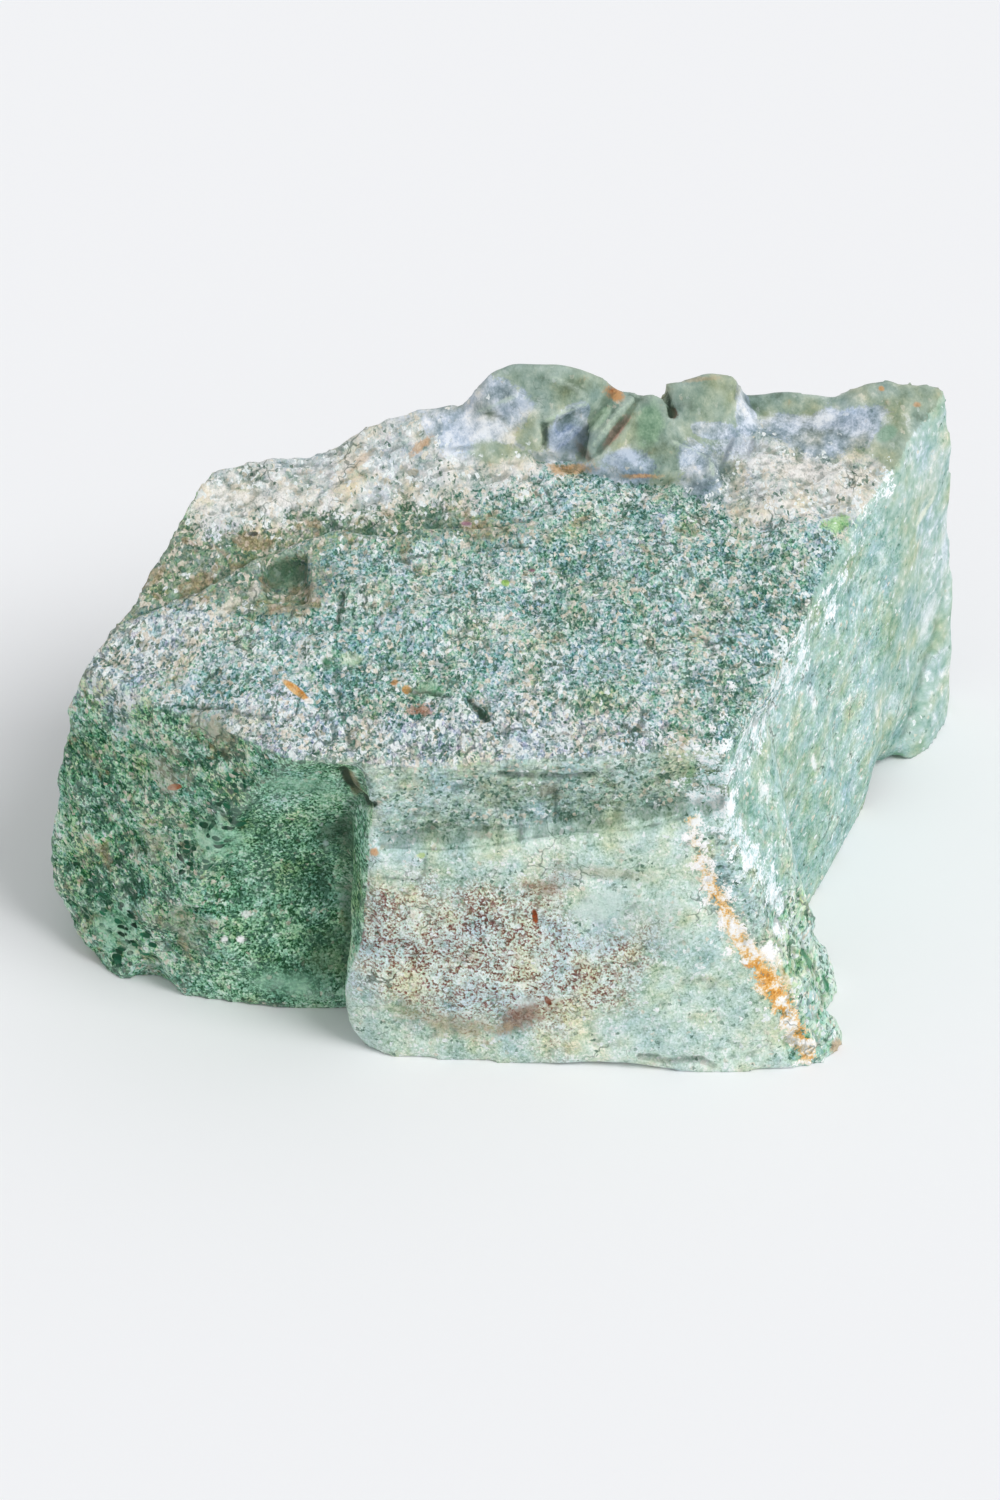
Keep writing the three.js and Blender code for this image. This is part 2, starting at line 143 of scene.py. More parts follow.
# Kinds of rock on the stone. marks: places in the photograph that show this rock, in its pixels.
# hidden: places that it doesn't show, in mm. relief: height in mm of the swells, bumps and grit that a
# blow leaves in it. blend: how far, in mm, it mixes with the rock beside it. grain: shares of the seven
# patterns of rock_grain, and contrast spreads their sum. flecks: how much of it is white grains, tan
# grains, dark grains and rust. ramp: its colours from the lowest to the highest of those patterns.
AREAS = {
    "granular top": dict(
        marks=[
            (250, 655), (330, 690), (420, 620), (500, 560), (560, 620), (640, 560), (700, 620), (620, 680),
            (740, 560), (780, 590), (480, 650), (690, 530), (350, 620), (790, 545), (700, 670), (560, 520),
            (640, 500), (400, 575), (690, 720), (400, 690), (210, 690), (360, 560), (440, 550), (520, 505),
            (600, 490), (736, 706), (752, 690), (722, 726),
        ],
        hidden=[],
        relief=(0.26, 0.2, 1.0),
        gloss=0.6,
        blend=4.0,
        grain=(0.42, 0.56, 0.22, 0.3, 0.0, 0.12, 0.0),
        contrast=2.1,
        flecks=(0.1, 0.08, 0.14, 0.16),
        ramp=[
            (0.0, "#2C5F52"), (0.2, "#609086"), (0.38, "#8BB3AC"), (0.55, "#ACC8C4"), (0.72, "#C4D9D7"),
            (0.88, "#DEEBEB"), (1.0, "#F1F7F6"),
        ],
    ),
    "pale top": dict(
        marks=[
            (300, 722), (340, 735), (420, 738), (500, 742), (580, 746), (650, 742), (120, 645), (160, 640),
            (105, 690), (245, 720),
        ],
        hidden=[],
        relief=(0.22, 0.2, 1.0),
        gloss=0.6,
        blend=7.0,
        grain=(0.42, 0.56, 0.16, 0.24, 0.0, 0.1, 0.0),
        contrast=1.9,
        flecks=(0.2, 0.15, 0.12, 0.12),
        ramp=[
            (0.0, "#486665"), (0.22, "#758F91"), (0.4, "#9BAFB3"), (0.58, "#B9C8CC"), (0.78, "#D8E3E6"),
            (1.0, "#F8FAF9"),
        ],
    ),
    "dark trough": dict(
        marks=[
            (135, 598), (165, 580), (190, 570), (235, 548), (285, 570), (290, 590), (340, 532), (400, 530),
            (440, 528), (480, 532), (150, 560),
        ],
        hidden=[],
        relief=(0.28, 0.2, 0.9),
        gloss=0.7,
        blend=6.0,
        grain=(0.34, 0.4, 0.36, 0.2, 0.0, 0.1, 0.0),
        contrast=1.7,
        flecks=(0.05, 0.12, 0.16, 0.36),
        ramp=[
            (0.0, "#44604C"), (0.3, "#6A8470"), (0.55, "#8CA08C"), (0.78, "#A8B5A2"), (1.0, "#CFCFBE"),
        ],
    ),
    "cream crust": dict(
        marks=[
            (215, 490), (260, 482), (300, 490), (240, 512), (335, 485), (400, 485), (440, 480), (470, 470),
            (500, 475), (750, 490), (770, 500), (800, 470), (820, 492), (850, 480), (360, 500), (780, 455),
            (410, 440), (425, 460),
        ],
        hidden=[(-20, 20, 25), (-12, 24, 30)],
        relief=(0.3, 0.22, 0.6),
        gloss=0.7,
        blend=6.0,
        grain=(0.12, 0.3, 0.6, 0.3, 0.0, 0.1, 0.0),
        contrast=1.6,
        flecks=(0.18, 0.09, 0.05, 0.14),
        ramp=[
            (0.0, "#667A74"), (0.2, "#97A8A2"), (0.4, "#C2CAC6"), (0.6, "#DCDDD8"), (0.82, "#EFEDE8"),
            (1.0, "#FCFBFA"),
        ],
    ),
    "lilac crystal": dict(
        marks=[
            (470, 428), (495, 432), (455, 438), (520, 412), (568, 432), (560, 447), (585, 430), (622, 458),
            (640, 462), (697, 462), (705, 470), (720, 435), (750, 425), (790, 425), (830, 425), (860, 420),
            (500, 395), (570, 415), (490, 405), (805, 440), (445, 425),
        ],
        hidden=[(6, 26, 34)],
        relief=(0.04, 0.02, 0.2),
        gloss=0.4,
        blend=2.0,
        grain=(0.04, 0.16, 0.6, 0.4, 0.0, 0.05, 0.0),
        contrast=1.9,
        flecks=(0.02, 0.01, 0.01, 0.03),
        ramp=[
            (0.0, "#6F8087"), (0.28, "#93A4AC"), (0.5, "#B0BEC8"), (0.72, "#CFD9E5"), (1.0, "#F2F5F9"),
        ],
    ),
    "green crystal": dict(
        marks=[
            (520, 372), (560, 370), (590, 385), (545, 395), (604, 402), (600, 420), (650, 425), (655, 450),
            (650, 405), (700, 392), (725, 390), (690, 405), (712, 410), (900, 390), (860, 396), (800, 402),
            (925, 392), (760, 402), (490, 450), (530, 440), (630, 410), (534, 422), (665, 465), (896, 436),
            (645, 440), (605, 435), (560, 385), (672, 398), (690, 385), (735, 385), (560, 400),
        ],
        hidden=[(2, 27, 37), (20, 28, 35), (35, 30, 30)],
        relief=(0.04, 0.02, 0.2),
        gloss=0.36,
        blend=1.2,
        grain=(0.04, 0.1, 0.5, 0.4, 0.0, 0.05, 0.0),
        contrast=1.6,
        flecks=(0.0, 0.01, 0.0, 0.1),
        ramp=[
            (0.0, "#697D6D"), (0.3, "#899E8F"), (0.6, "#A3B4A5"), (0.8, "#B9C6B8"), (1.0, "#D8DDD0"),
        ],
    ),
    "dark band": dict(
        marks=[
            (395, 785), (440, 800), (500, 790), (560, 790), (620, 780), (675, 785), (420, 830), (500, 825),
            (580, 812), (655, 800), (385, 820), (680, 765), (740, 885), (725, 850), (755, 905),
        ],
        hidden=[],
        relief=(0.16, 0.12, 0.7),
        gloss=0.6,
        blend=1.0,
        grain=(0.3, 0.36, 0.3, 0.34, 0.4, 0.1, 0.0),
        contrast=2.2,
        flecks=(0.04, 0.05, 0.12, 0.14),
        ramp=[
            (0.0, "#536D5F"), (0.24, "#80998D"), (0.46, "#A2BBAF"), (0.66, "#B7D0C6"), (0.84, "#CCE1DA"),
            (1.0, "#E5F1EC"),
        ],
    ),
    "pale mint": dict(
        marks=[
            (400, 862), (450, 865), (520, 858), (600, 848), (655, 845), (680, 870), (700, 950), (740, 1000),
            (700, 1030), (620, 1042), (500, 1050), (430, 1045), (760, 1050), (670, 990), (390, 1030),
            (600, 905), (660, 875), (380, 1040), (720, 970), (640, 880), (440, 855), (480, 854), (530, 843),
            (570, 840), (610, 835), (650, 831), (678, 829),
        ],
        hidden=[(5, -20, 0), (20, -10, 0)],
        relief=(0.13, 0.1, 0.5),
        gloss=0.56,
        blend=0.7,
        grain=(0.36, 0.44, 0.34, 0.4, 0.0, 0.1, 0.0),
        contrast=2.0,
        flecks=(0.05, 0.02, 0.03, 0.05),
        ramp=[
            (0.0, "#8AA692"), (0.26, "#B4CFBE"), (0.5, "#CAE0D3"), (0.74, "#DBEEE4"), (1.0, "#F6FDFA"),
        ],
    ),
    "speckled mint": dict(
        marks=[
            (378, 905), (420, 893), (480, 903), (540, 888), (570, 960), (500, 960), (440, 940), (520, 1005),
            (470, 1000), (550, 935), (395, 960), (440, 975), (590, 990), (400, 925), (620, 950), (420, 1012),
            (500, 1022), (540, 1012), (395, 985),
        ],
        hidden=[],
        relief=(0.1, 0.12, 0.7),
        gloss=0.6,
        blend=7.0,
        grain=(0.5, 0.6, 0.26, 0.26, 0.0, 0.05, 0.0),
        contrast=2.3,
        flecks=(0.03, 0.02, 0.02, 0.0),
        ramp=[
            (0.0, "#683F36"), (0.16, "#8A6459"), (0.32, "#AB9789"), (0.46, "#C7D3C5"), (0.7, "#D7EAE0"),
            (1.0, "#F5FBF9"),
        ],
    ),
    "green hollow": dict(
        marks=[
            (300, 800), (330, 830), (335, 900), (280, 870), (300, 950), (260, 960), (240, 900), (330, 980),
            (270, 1000), (345, 790), (270, 780), (220, 985), (345, 940), (255, 830), (352, 852), (350, 880),
            (346, 905), (354, 825),
        ],
        hidden=[],
        relief=(0.13, 0.07, 0.6),
        gloss=0.56,
        blend=1.0,
        grain=(0.44, 0.44, 0.2, 0.4, 0.0, 0.1, 0.0),
        contrast=3.0,
        flecks=(0.01, 0.02, 0.2, 0.1),
        ramp=[
            (0.0, "#1C4E2E"), (0.26, "#5E9470"), (0.5, "#8ABF9C"), (0.72, "#A4D6B4"), (0.88, "#BCE6CA"),
            (1.0, "#DCF2E2"),
        ],
    ),
    "coarse green": dict(
        marks=[
            (100, 735), (150, 740), (200, 745), (90, 800), (75, 860), (130, 820), (180, 860), (100, 900),
            (130, 950), (205, 800), (60, 830), (80, 770), (225, 765), (155, 905), (120, 860), (200, 900),
            (180, 950), (90, 700),
        ],
        hidden=[(-38, 0, 20), (-35, 8, 10), (-30, 15, 20), (-35, 0, 0), (-25, 0, 0), (-30, 12, 28)],
        relief=(0.3, 0.2, 1.0),
        gloss=0.62,
        blend=4.0,
        grain=(0.36, 0.4, 0.44, 0.3, 0.0, 0.26, 0.0),
        contrast=3.0,
        flecks=(0.03, 0.05, 0.26, 0.2),
        ramp=[
            (0.0, "#08482A"), (0.22, "#428662"), (0.44, "#7EB693"), (0.64, "#A4D0B1"), (0.84, "#C3E4CC"),
            (1.0, "#E2F1E2"),
        ],
    ),
    "flecked face": dict(
        marks=[
            (760, 760), (800, 720), (850, 680), (870, 620), (840, 600), (800, 790), (860, 740), (900, 740),
            (780, 830), (820, 850), (870, 660), (820, 680), (880, 570), (850, 560), (890, 680), (875, 520),
            (740, 770),
        ],
        hidden=[(0, 10, 0), (25, 20, 0), (-10, 0, 0), (20, 30, 10), (-15, 26, 14)],
        relief=(0.12, 0.06, 0.6),
        gloss=0.56,
        blend=0.8,
        grain=(0.3, 0.4, 0.44, 0.4, 0.0, 0.1, 0.5),
        contrast=2.2,
        flecks=(0.03, 0.03, 0.025, 0.08),
        ramp=[
            (0.0, "#6A9887"), (0.26, "#8FB4A6"), (0.5, "#A6C6BC"), (0.7, "#B8D3CC"), (0.86, "#CFE4E0"),
            (1.0, "#F4FAFA"),
        ],
    ),
    "smooth face": dict(
        marks=[
            (930, 420), (932, 480), (915, 520), (938, 560), (935, 620), (925, 690), (912, 570), (908, 460),
            (915, 640), (920, 740), (935, 520), (890, 500),
        ],
        hidden=[(35, 31, 20), (10, 28, 22), (30, 31, 8), (38, 12, 12), (0, 28, 12)],
        relief=(0.1, 0.03, 0.2),
        gloss=0.5,
        blend=5.0,
        grain=(0.02, 0.08, 0.3, 0.6, 0.0, 0.0, 0.9),
        contrast=1.7,
        flecks=(0.02, 0.01, 0.02, 0.05),
        ramp=[
            (0.0, "#80A696"), (0.3, "#98B8AB"), (0.5, "#A9C4B8"), (0.68, "#B6CCC4"), (0.84, "#CBDAD8"),
            (1.0, "#E8EEEC"),
        ],
    ),
    "foot rock": dict(
        marks=[(800, 950), (815, 980), (830, 1005), (828, 1030), (795, 975), (815, 1045), (800, 1000)],
        hidden=[(30, -16, 2)],
        relief=(0.4, 0.3, 1.0),
        gloss=0.62,
        blend=1.4,
        grain=(0.26, 0.2, 0.5, 0.2, 0.0, 0.2, 0.0),
        contrast=1.8,
        flecks=(0.1, 0.06, 0.12, 0.1),
        ramp=[
            (0.0, "#2A6A48"), (0.2, "#8AB79C"), (0.44, "#B9D8C5"), (0.7, "#D4E8DB"), (1.0, "#F7FCF7"),
        ],
    ),
}

# Grains of other minerals, strewn over every area by its flecks: darkest and lightest colour, how much
# they cover what is below, and how soft their edge is.
FLECKS = {
    "white grains": ("#D8E6E6", "#FFFFFF", 0.9, 0.05),
    "tan grains": ("#D0C4AC", "#F2EEE2", 0.8, 0.05),
    "dark grains": ("#1E4A38", "#4F7C68", 0.8, 0.05),
    "rust": ("#7E6448", "#B89C78", 0.55, 0.3),
}

# Veins and lines, by the places in the photograph that they pass through. half: half of the width of each
# part, in mm. falloff: how fast they thin out past that. ragged: how far the mottle breaks their edge, in mm.
VEINS = {
    "chalk": dict(
        lines=[
            [(893, 462), (872, 504), (856, 540), (846, 576)],
            [(846, 576), (832, 602), (815, 630), (800, 652)],
            [(800, 652), (780, 678), (762, 704), (744, 730), (728, 752), (720, 775), (712, 798)],
            [(712, 800), (730, 826), (750, 850), (768, 878), (784, 905)],
        ],
        half=(0.3, 0.9, 2.1, 1.6),
        falloff=0.6,
        ragged=3.4,
        contrast=1.9,
        grain=(0.3, 0.3, 0.4, 0.0, 0.0, 0.1, 0.4),
        ramp=[(0.0, "#6FA893"), (0.25, "#ABD0CB"), (0.5, "#D9E9EC"), (0.75, "#F8FCFD"), (1.0, "#FFFFFF")],
    ),
    "rust vein": dict(
        lines=[
            [(690, 820), (696, 850), (708, 880)],
            [(708, 880), (722, 905), (734, 928), (744, 950)],
            [(748, 950), (764, 975), (780, 1000), (796, 1030), (808, 1052)],
        ],
        half=(0.8, 1.1, 1.3),
        falloff=1.0,
        ragged=2.0,
        contrast=1.9,
        grain=(0.1, 0.3, 0.9, 0.3, 0.0, 0.1, 0.0),
        ramp=[
            (0.0, "#BC7828"), (0.3, "#E6AA55"), (0.44, "#F0CE96"), (0.56, "#F6ECDA"), (0.78, "#FFFFFF"),
        ],
    ),
    # A painted highlight: a thin pale line where the ledge's edge catches the light.
    "ledge highlight": dict(
        lines=[[(374, 852), (400, 856), (440, 856), (480, 852), (520, 850)]],
        half=(0.12,),
        falloff=1.0,
        ragged=0.25,
        contrast=1.0,
        grain=(0.3, 0.3, 0.3, 0.0, 0.0, 0.0, 0.0),
        ramp=[(0.2, "#DDEFE6"), (0.8, "#F6FCF9")],
    ),
}

# Creases: places that they pass through, depth in mm (below zero for a ridge), half of the width in mm,
# and how much painted shade darkens them (below zero for a painted highlight on a ridge).
CREASES = [
    ([(340, 652), (337, 675), (338, 700), (346, 722), (351, 745), (352, 768)], 0.25, 0.14, 0.5),
    ([(556, 795), (557, 812), (558, 832)], 0.2, 0.16, 0.5),
    ([(522, 812), (521, 830), (520, 850)], 0.15, 0.14, 0.4),
    ([(500, 776), (540, 776), (568, 778), (592, 776)], 0.3, 0.24, 0.4),
    ([(342, 770), (348, 786), (360, 800), (368, 806)], 0.5, 0.35, 0.8),
    ([(411, 689), (430, 691), (450, 697)], 0.35, 0.22, 0.6),
    ([(469, 698), (476, 706), (487, 717)], 0.4, 0.3, 0.8),
    ([(343, 592), (341, 606), (339, 620)], 0.3, 0.2, 0.7),
    ([(424, 858), (423, 870), (419, 881), (395, 880), (372, 878)], 0.15, 0.13, 0.25),
    ([(159, 700), (196, 706), (225, 708), (250, 714), (270, 716)], 0.25, 0.16, 0.45),
    ([(545, 424), (546, 434), (546, 444)], 0.6, 0.22, 0.75),
    ([(637, 401), (627, 416), (612, 434), (600, 448)], 0.35, 0.3, 0.35),
    ([(664, 401), (669, 408), (672, 415)], 0.5, 0.25, 0.85),
    ([(584, 404), (566, 410), (546, 421)], -0.3, 0.14, -0.6),
    ([(584, 404), (588, 400), (572, 386), (548, 376)], -0.2, 0.12, -0.35),
    ([(478, 412), (498, 404), (516, 396)], -0.15, 0.12, -0.35),
    ([(478, 412), (492, 414), (504, 418)], 0.15, 0.12, 0.3),
    ([(674, 442), (694, 447), (710, 462), (712, 476)], -0.25, 0.14, -0.5),
    ([(594, 446), (606, 430), (620, 412), (633, 401)], -0.35, 0.16, -0.4),
    ([(546, 446), (552, 456), (570, 460), (590, 458), (600, 450)], 0.15, 0.14, 0.3),
    ([(374, 845), (428, 848), (493, 845), (554, 834), (636, 829), (683, 818)], 0.1, 0.14, 0.3),
    ([(640, 1057), (670, 1062), (700, 1060), (715, 1066)], 0.3, 0.3, 0.4),
]

# Swells that fill the outline out: place, how wide in mm, and how far the stone is moved there in mm, to
# the right and up.
SWELLS = [
    ((652, 402), 1.6, 0.0, 0.8), ((664, 398), 1.3, 0.0, 0.9), ((672, 392), 1.0, 0.0, 0.6),
    ((366, 822), 3.4, 0.5, 0.0), ((362, 872), 3.4, 0.55, 0.0), ((357, 922), 3.4, 0.5, 0.0),
    ((712, 741), 4.0, 1.1, 0.0), ((735, 702), 4.0, 1.3, 0.0), ((762, 666), 4.0, 1.0, 0.0),
    ((790, 630), 4.0, 0.6, 0.0), ((876, 392), 2.6, 0.0, 0.35), ((936, 400), 4.0, 0.7, 0.1),
    ((943, 445), 4.0, 0.4, 0.0),
]

# Places where the stone is worn smooth: place, how far around in mm, and the share of the wear.
MELTED = [
    ((700, 440), 3.0, 1.0), ((738, 434), 3.0, 1.0), ((744, 412), 2.2, 1.0), ((716, 436), 3.0, 1.0),
    ((680, 432), 1.5, 1.0), ((906, 386), 1.6, 0.4), ((890, 766), 2.4, 0.8),
]

# Spots, by place in the photograph: stains and grains, and a few of painted shade. Each row: place, half
# length and half width in pixels, turn in degrees, softness of the edge, how much the grain breaks it, how
# strong it is, and its two colours.
SPOT_DEPTH = 8.0  # mm
SPOTS = [
    ((296, 690), (21, 4.5), -38, 0.3, 0.25, 1.0, "#C98434", "#F0CE93"),
    ((309, 701), (6, 4), 0, 0.5, 0.6, 0.9, "#F4F0E4", "#FFFFFF"),
    ((175, 787), (9, 3.5), 8, 0.3, 0.2, 1.0, "#8E4426", "#C07A52"),
    ((535, 916), (3.5, 9), 8, 0.4, 0.3, 1.0, "#6E2E14", "#A4552C"),
    ((548, 1001), (3, 7), 35, 0.4, 0.3, 1.0, "#5E2A1A", "#9A5A3C"),
    ((528, 1001), (16, 8), 10, 0.6, 0.8, 0.6, "#DDEAE4", "#F4FAF8"),
    ((522, 1018), (40, 17), 24, 0.8, 1.0, 0.8, "#60402F", "#9C7A66"),
    ((410, 1012), (36, 14), -8, 0.9, 0.5, 0.5, "#8F8A52", "#B8B284"),
    ((465, 1026), (84, 14), -3, 0.9, 0.9, 0.6, "#867250", "#B4A684"),
    ((640, 925), (50, 40), -20, 0.9, 1.5, 0.3, "#84938A", "#A8B8AE"),
    ((545, 886), (26, 12), 0, 0.8, 0.9, 0.6, "#7B5A48", "#A8907A"),
    ((600, 905), (31, 16), 12, 0.5, 0.6, 0.7, "#BDD6CC", "#D2E6DF"),
    ((600, 872), (70, 10), -4, 0.9, 0.6, 0.45, "#A79B74", "#C2BC9A"),
    ((843, 524), (22, 11), 10, 0.6, 1.3, 0.8, "#2F8A46", "#A4D88C"),
    ((768, 953), (15, 13), 0, 0.5, 0.8, 1.0, "#FFFFFF", "#FFFFFF"),
    ((748, 965), (10, 6), -50, 0.5, 0.9, 0.9, "#D98B33", "#F0C98C"),
    ((784, 975), (5, 28), 25, 0.6, 0.9, 0.6, "#D6AE5E", "#F3E6C4"),
    ((836, 1046), (9, 8), 0, 0.5, 0.7, 0.9, "#8F7150", "#D3B891"),
    ((467, 524), (7, 3), 0, 0.5, 0.6, 0.8, "#7C3F5E", "#B08098"),
    ((532, 570), (5, 2.5), 0, 0.5, 0.6, 0.8, "#84405F", "#B98AA2"),
    ((505, 583), (5, 4), 0, 0.5, 0.6, 0.9, "#4F8420", "#A0CC5A"),
    ((394, 683), (4, 4), 0, 0.5, 0.8, 0.9, "#A86C2E", "#D8A468"),
    ((406, 690), (5, 5), 0, 0.5, 0.8, 0.9, "#8A5A22", "#C99A58"),
    ((419, 711), (15, 8), 5, 0.6, 1.2, 0.7, "#9C5238", "#C99C84"),
    ((434, 689), (20, 8), -8, 0.6, 1.0, 0.7, "#4FA070", "#B4DCBC"),
    ((352, 660), (20, 9), 0, 0.7, 1.0, 0.6, "#9CC79C", "#D6E8C4"),
    ((327, 664), (6, 8), 20, 0.5, 0.9, 0.9, "#1D5738", "#5C9A72"),
    ((482, 713), (8, 6), -40, 0.5, 0.8, 0.9, "#153E30", "#3E7860"),
    ((229, 607), (19, 9), 30, 0.7, 1.0, 0.7, "#DCCDB6", "#F2EADB"),
    ((253, 590), (8, 14), 0, 0.7, 1.0, 0.6, "#D8CDBB", "#F0E9DC"),
    ((252, 534), (7, 3), 0, 0.5, 0.5, 0.9, "#1E221E", "#3E4440"),
    ((286, 575), (22, 22), 0, 0.5, 0.6, 0.7, "#46684F", "#7E9C80"),
    ((353, 783), (8, 19), 28, 0.4, 0.5, 0.9, "#5C5438", "#98906C"),
    ((241, 939), (6, 5), 0, 0.5, 0.9, 1.0, "#FFFFFF", "#FFFFFF"),
    ((224, 939), (5, 4), 0, 0.5, 0.9, 0.9, "#F0F6F2", "#FFFFFF"),
    ((247, 914), (6, 4), 0, 0.6, 1.0, 0.7, "#D8E6E0", "#FFFFFF"),
    ((326, 843), (4, 4), 0, 0.6, 0.4, 0.8, "#A6C0BC", "#D0E0DE"),
    # Painted shade in the top of the hollow, beside the block.
    ((338, 832), (26, 22), 30, 0.8, 1.1, 0.8, "#22382A", "#56745E"),
    ((300, 785), (62, 16), -6, 0.9, 0.7, 0.6, "#6FA688", "#A4D0B2"),
    ((214, 840), (46, 42), 30, 1.0, 0.8, 0.8, "#74B692", "#B0E0C4"),
    ((112, 925), (52, 46), 30, 1.0, 0.8, 0.8, "#6EB28E", "#ACDEC2"),
    ((214, 730), (30, 14), -40, 1.0, 1.0, 0.5, "#4F5C40", "#8C9070"),
    # Painted shade down the hollow's side beside the block, in these two spots.
    ((348, 900), (12, 60), 3, 0.9, 0.9, 0.6, "#2C4632", "#5E7E62"),
    ((325, 960), (30, 42), 0, 0.9, 0.9, 0.55, "#3C5A40", "#6C8A68"),
    ((215, 720), (40, 26), -20, 0.9, 1.2, 0.5, "#6A7458", "#A09C84"),
    ((165, 770), (34, 30), 0, 0.9, 1.4, 0.45, "#77735A", "#B0A48C"),
    ((150, 850), (30, 26), 0, 0.9, 1.4, 0.4, "#77735A", "#B0A890"),
    ((185, 930), (34, 34), 30, 0.9, 1.3, 0.5, "#5E6A50", "#8E9680"),
    ((290, 984), (66, 22), -6, 0.9, 0.5, 0.75, "#7CB297", "#A2D2B6"),
    ((374, 852), (6, 5), 0, 0.5, 0.7, 0.9, "#C97F38", "#E8B880"),
    ((422, 855), (5, 4), 0, 0.5, 0.7, 0.7, "#A8C44C", "#CBDD88"),
    ((550, 790), (20, 14), 0, 0.8, 0.9, 0.6, "#5E5440", "#94907A"),
    ((670, 800), (3.5, 3), 0, 0.4, 0.3, 0.9, "#C7B9A0", "#E0D8C8"),
    ((690, 775), (6, 22), -12, 0.7, 0.9, 0.6, "#3F8350", "#A8D0AC"),
    ((614, 392), (11, 12), 20, 0.6, 0.7, 0.9, "#8E5526", "#BF8D58"),
    ((480, 432), (38, 20), 10, 0.8, 0.6, 0.75, "#AAB9CC", "#E6EDF5"),
    # Painted shadow below the lilac crystal's edge.
    ((464, 448), (20, 4), 4, 0.8, 0.6, 0.6, "#66777E", "#93A2A8"),
    ((515, 408), (30, 9), 14, 0.7, 0.5, 0.6, "#8496A6", "#B5C2CF"),
    ((567, 437), (25, 20), 0, 0.4, 0.4, 0.9, "#6F83A0", "#B9C8DE"),
    ((650, 424), (18, 36), -8, 0.5, 0.3, 0.8, "#688C70", "#94B394"),
    ((600, 418), (7, 25), -40, 0.5, 0.3, 0.8, "#8AAA8B", "#B2C9AE"),
    ((617, 430), (7, 28), -38, 0.5, 0.5, 0.9, "#7A5A50", "#BE9C8C"),
    ((620, 458), (24, 10), 12, 0.5, 0.5, 0.85, "#7E92AA", "#BCCBDC"),
    ((690, 456), (20, 9), 48, 0.4, 0.4, 0.9, "#A4B8CC", "#E2EBF4"),
    ((706, 400), (34, 22), 0, 0.8, 0.5, 0.7, "#768F7E", "#9FB09C"),
    ((736, 444), (30, 26), 20, 0.8, 1.3, 0.75, "#7889A2", "#DCE5F0"),
    ((728, 452), (4, 26), -24, 0.7, 1.0, 0.7, "#3F4C5A", "#77858F"),
    ((752, 446), (4, 24), -16, 0.7, 1.0, 0.6, "#4A5866", "#85929C"),
    ((830, 424), (80, 18), -2, 0.9, 0.9, 0.7, "#9AABC4", "#E0E8F2"),
    ((805, 470), (66, 24), -8, 0.9, 0.9, 0.75, "#D9D0C6", "#FFFCF8"),
    ((250, 498), (66, 20), -4, 0.9, 1.0, 0.65, "#DAD4C8", "#FFFDF8"),
    ((360, 462), (34, 5), 50, 0.8, 1.0, 0.6, "#A5835C", "#D8C0A2"),
    ((584, 452), (6, 14), 40, 0.6, 0.8, 0.6, "#7C6258", "#A08A7C"),
    ((570, 469), (30, 8), 0, 0.6, 0.8, 0.85, "#A0703A", "#CFA878"),
    ((640, 476), (26, 4), 0, 0.6, 0.8, 0.8, "#B07C40", "#D8B98C"),
    # Painted shade in the crevice by the knob.
    ((672, 412), (6, 9), 20, 0.5, 0.6, 0.9, "#2E201A", "#5E4234"),
    ((700, 379), (24, 4), 4, 0.7, 0.7, 0.7, "#8F7C58", "#B5A888"),
    ((422, 445), (6, 20), -50, 0.6, 0.9, 0.8, "#A8763E", "#CFB08A"),
    ((888, 433), (16, 10), 40, 0.4, 0.4, 0.8, "#7C9F88", "#94B49E"),
    ((881, 389), (4, 4), 0, 0.5, 0.4, 0.9, "#B8803E", "#DCB07C"),
    ((917, 405), (5, 4), 0, 0.6, 0.6, 0.7, "#A9743E", "#D0A47C"),
    ((923, 514), (40, 3.5), 56, 0.7, 0.7, 0.8, "#D8DFC6", "#F0F4E6"),
    ((930, 480), (18, 50), -20, 1.0, 0.8, 0.45, "#AEBEB6", "#C9D2CC"),
    ((930, 612), (54, 12), 64, 1.0, 0.7, 0.6, "#CDD6DE", "#EEF3F6"),
    ((945, 545), (8, 46), 4, 0.9, 0.5, 0.55, "#CAD6E2", "#E6EEF4"),
    ((872, 575), (60, 10), 62, 1.0, 1.1, 0.35, "#C9DDDC", "#EAF4F4"),
    ((813, 697), (5, 14), 15, 0.8, 1.0, 0.8, "#E2EFF2", "#FFFFFF"),
    ((838, 632), (4, 12), 10, 0.8, 1.0, 0.7, "#E2EFF2", "#FFFFFF"),
    ((764, 792), (9, 14), 10, 0.8, 1.0, 0.8, "#E2EFF2", "#FFFFFF"),
    ((814, 765), (4, 12), 12, 0.8, 1.0, 0.8, "#E2EFF2", "#FFFFFF"),
    ((832, 764), (3, 9), 12, 0.8, 1.0, 0.7, "#E2EFF2", "#FFFFFF"),
    ((894, 700), (12, 16), 10, 1.0, 0.8, 0.5, "#D6E4EA", "#F4F9FA"),
    ((852, 788), (8, 14), 0, 1.0, 0.8, 0.5, "#D3E0E8", "#F0F6F8"),
    ((896, 768), (12, 8), 0, 0.7, 0.8, 0.8, "#3E7C4C", "#7AAE84"),
    ((808, 962), (4, 20), 35, 0.5, 0.7, 0.9, "#12603A", "#3F9468"),
    ((826, 985), (3.5, 14), 20, 0.5, 0.7, 0.9, "#14633E", "#3F9468"),
]

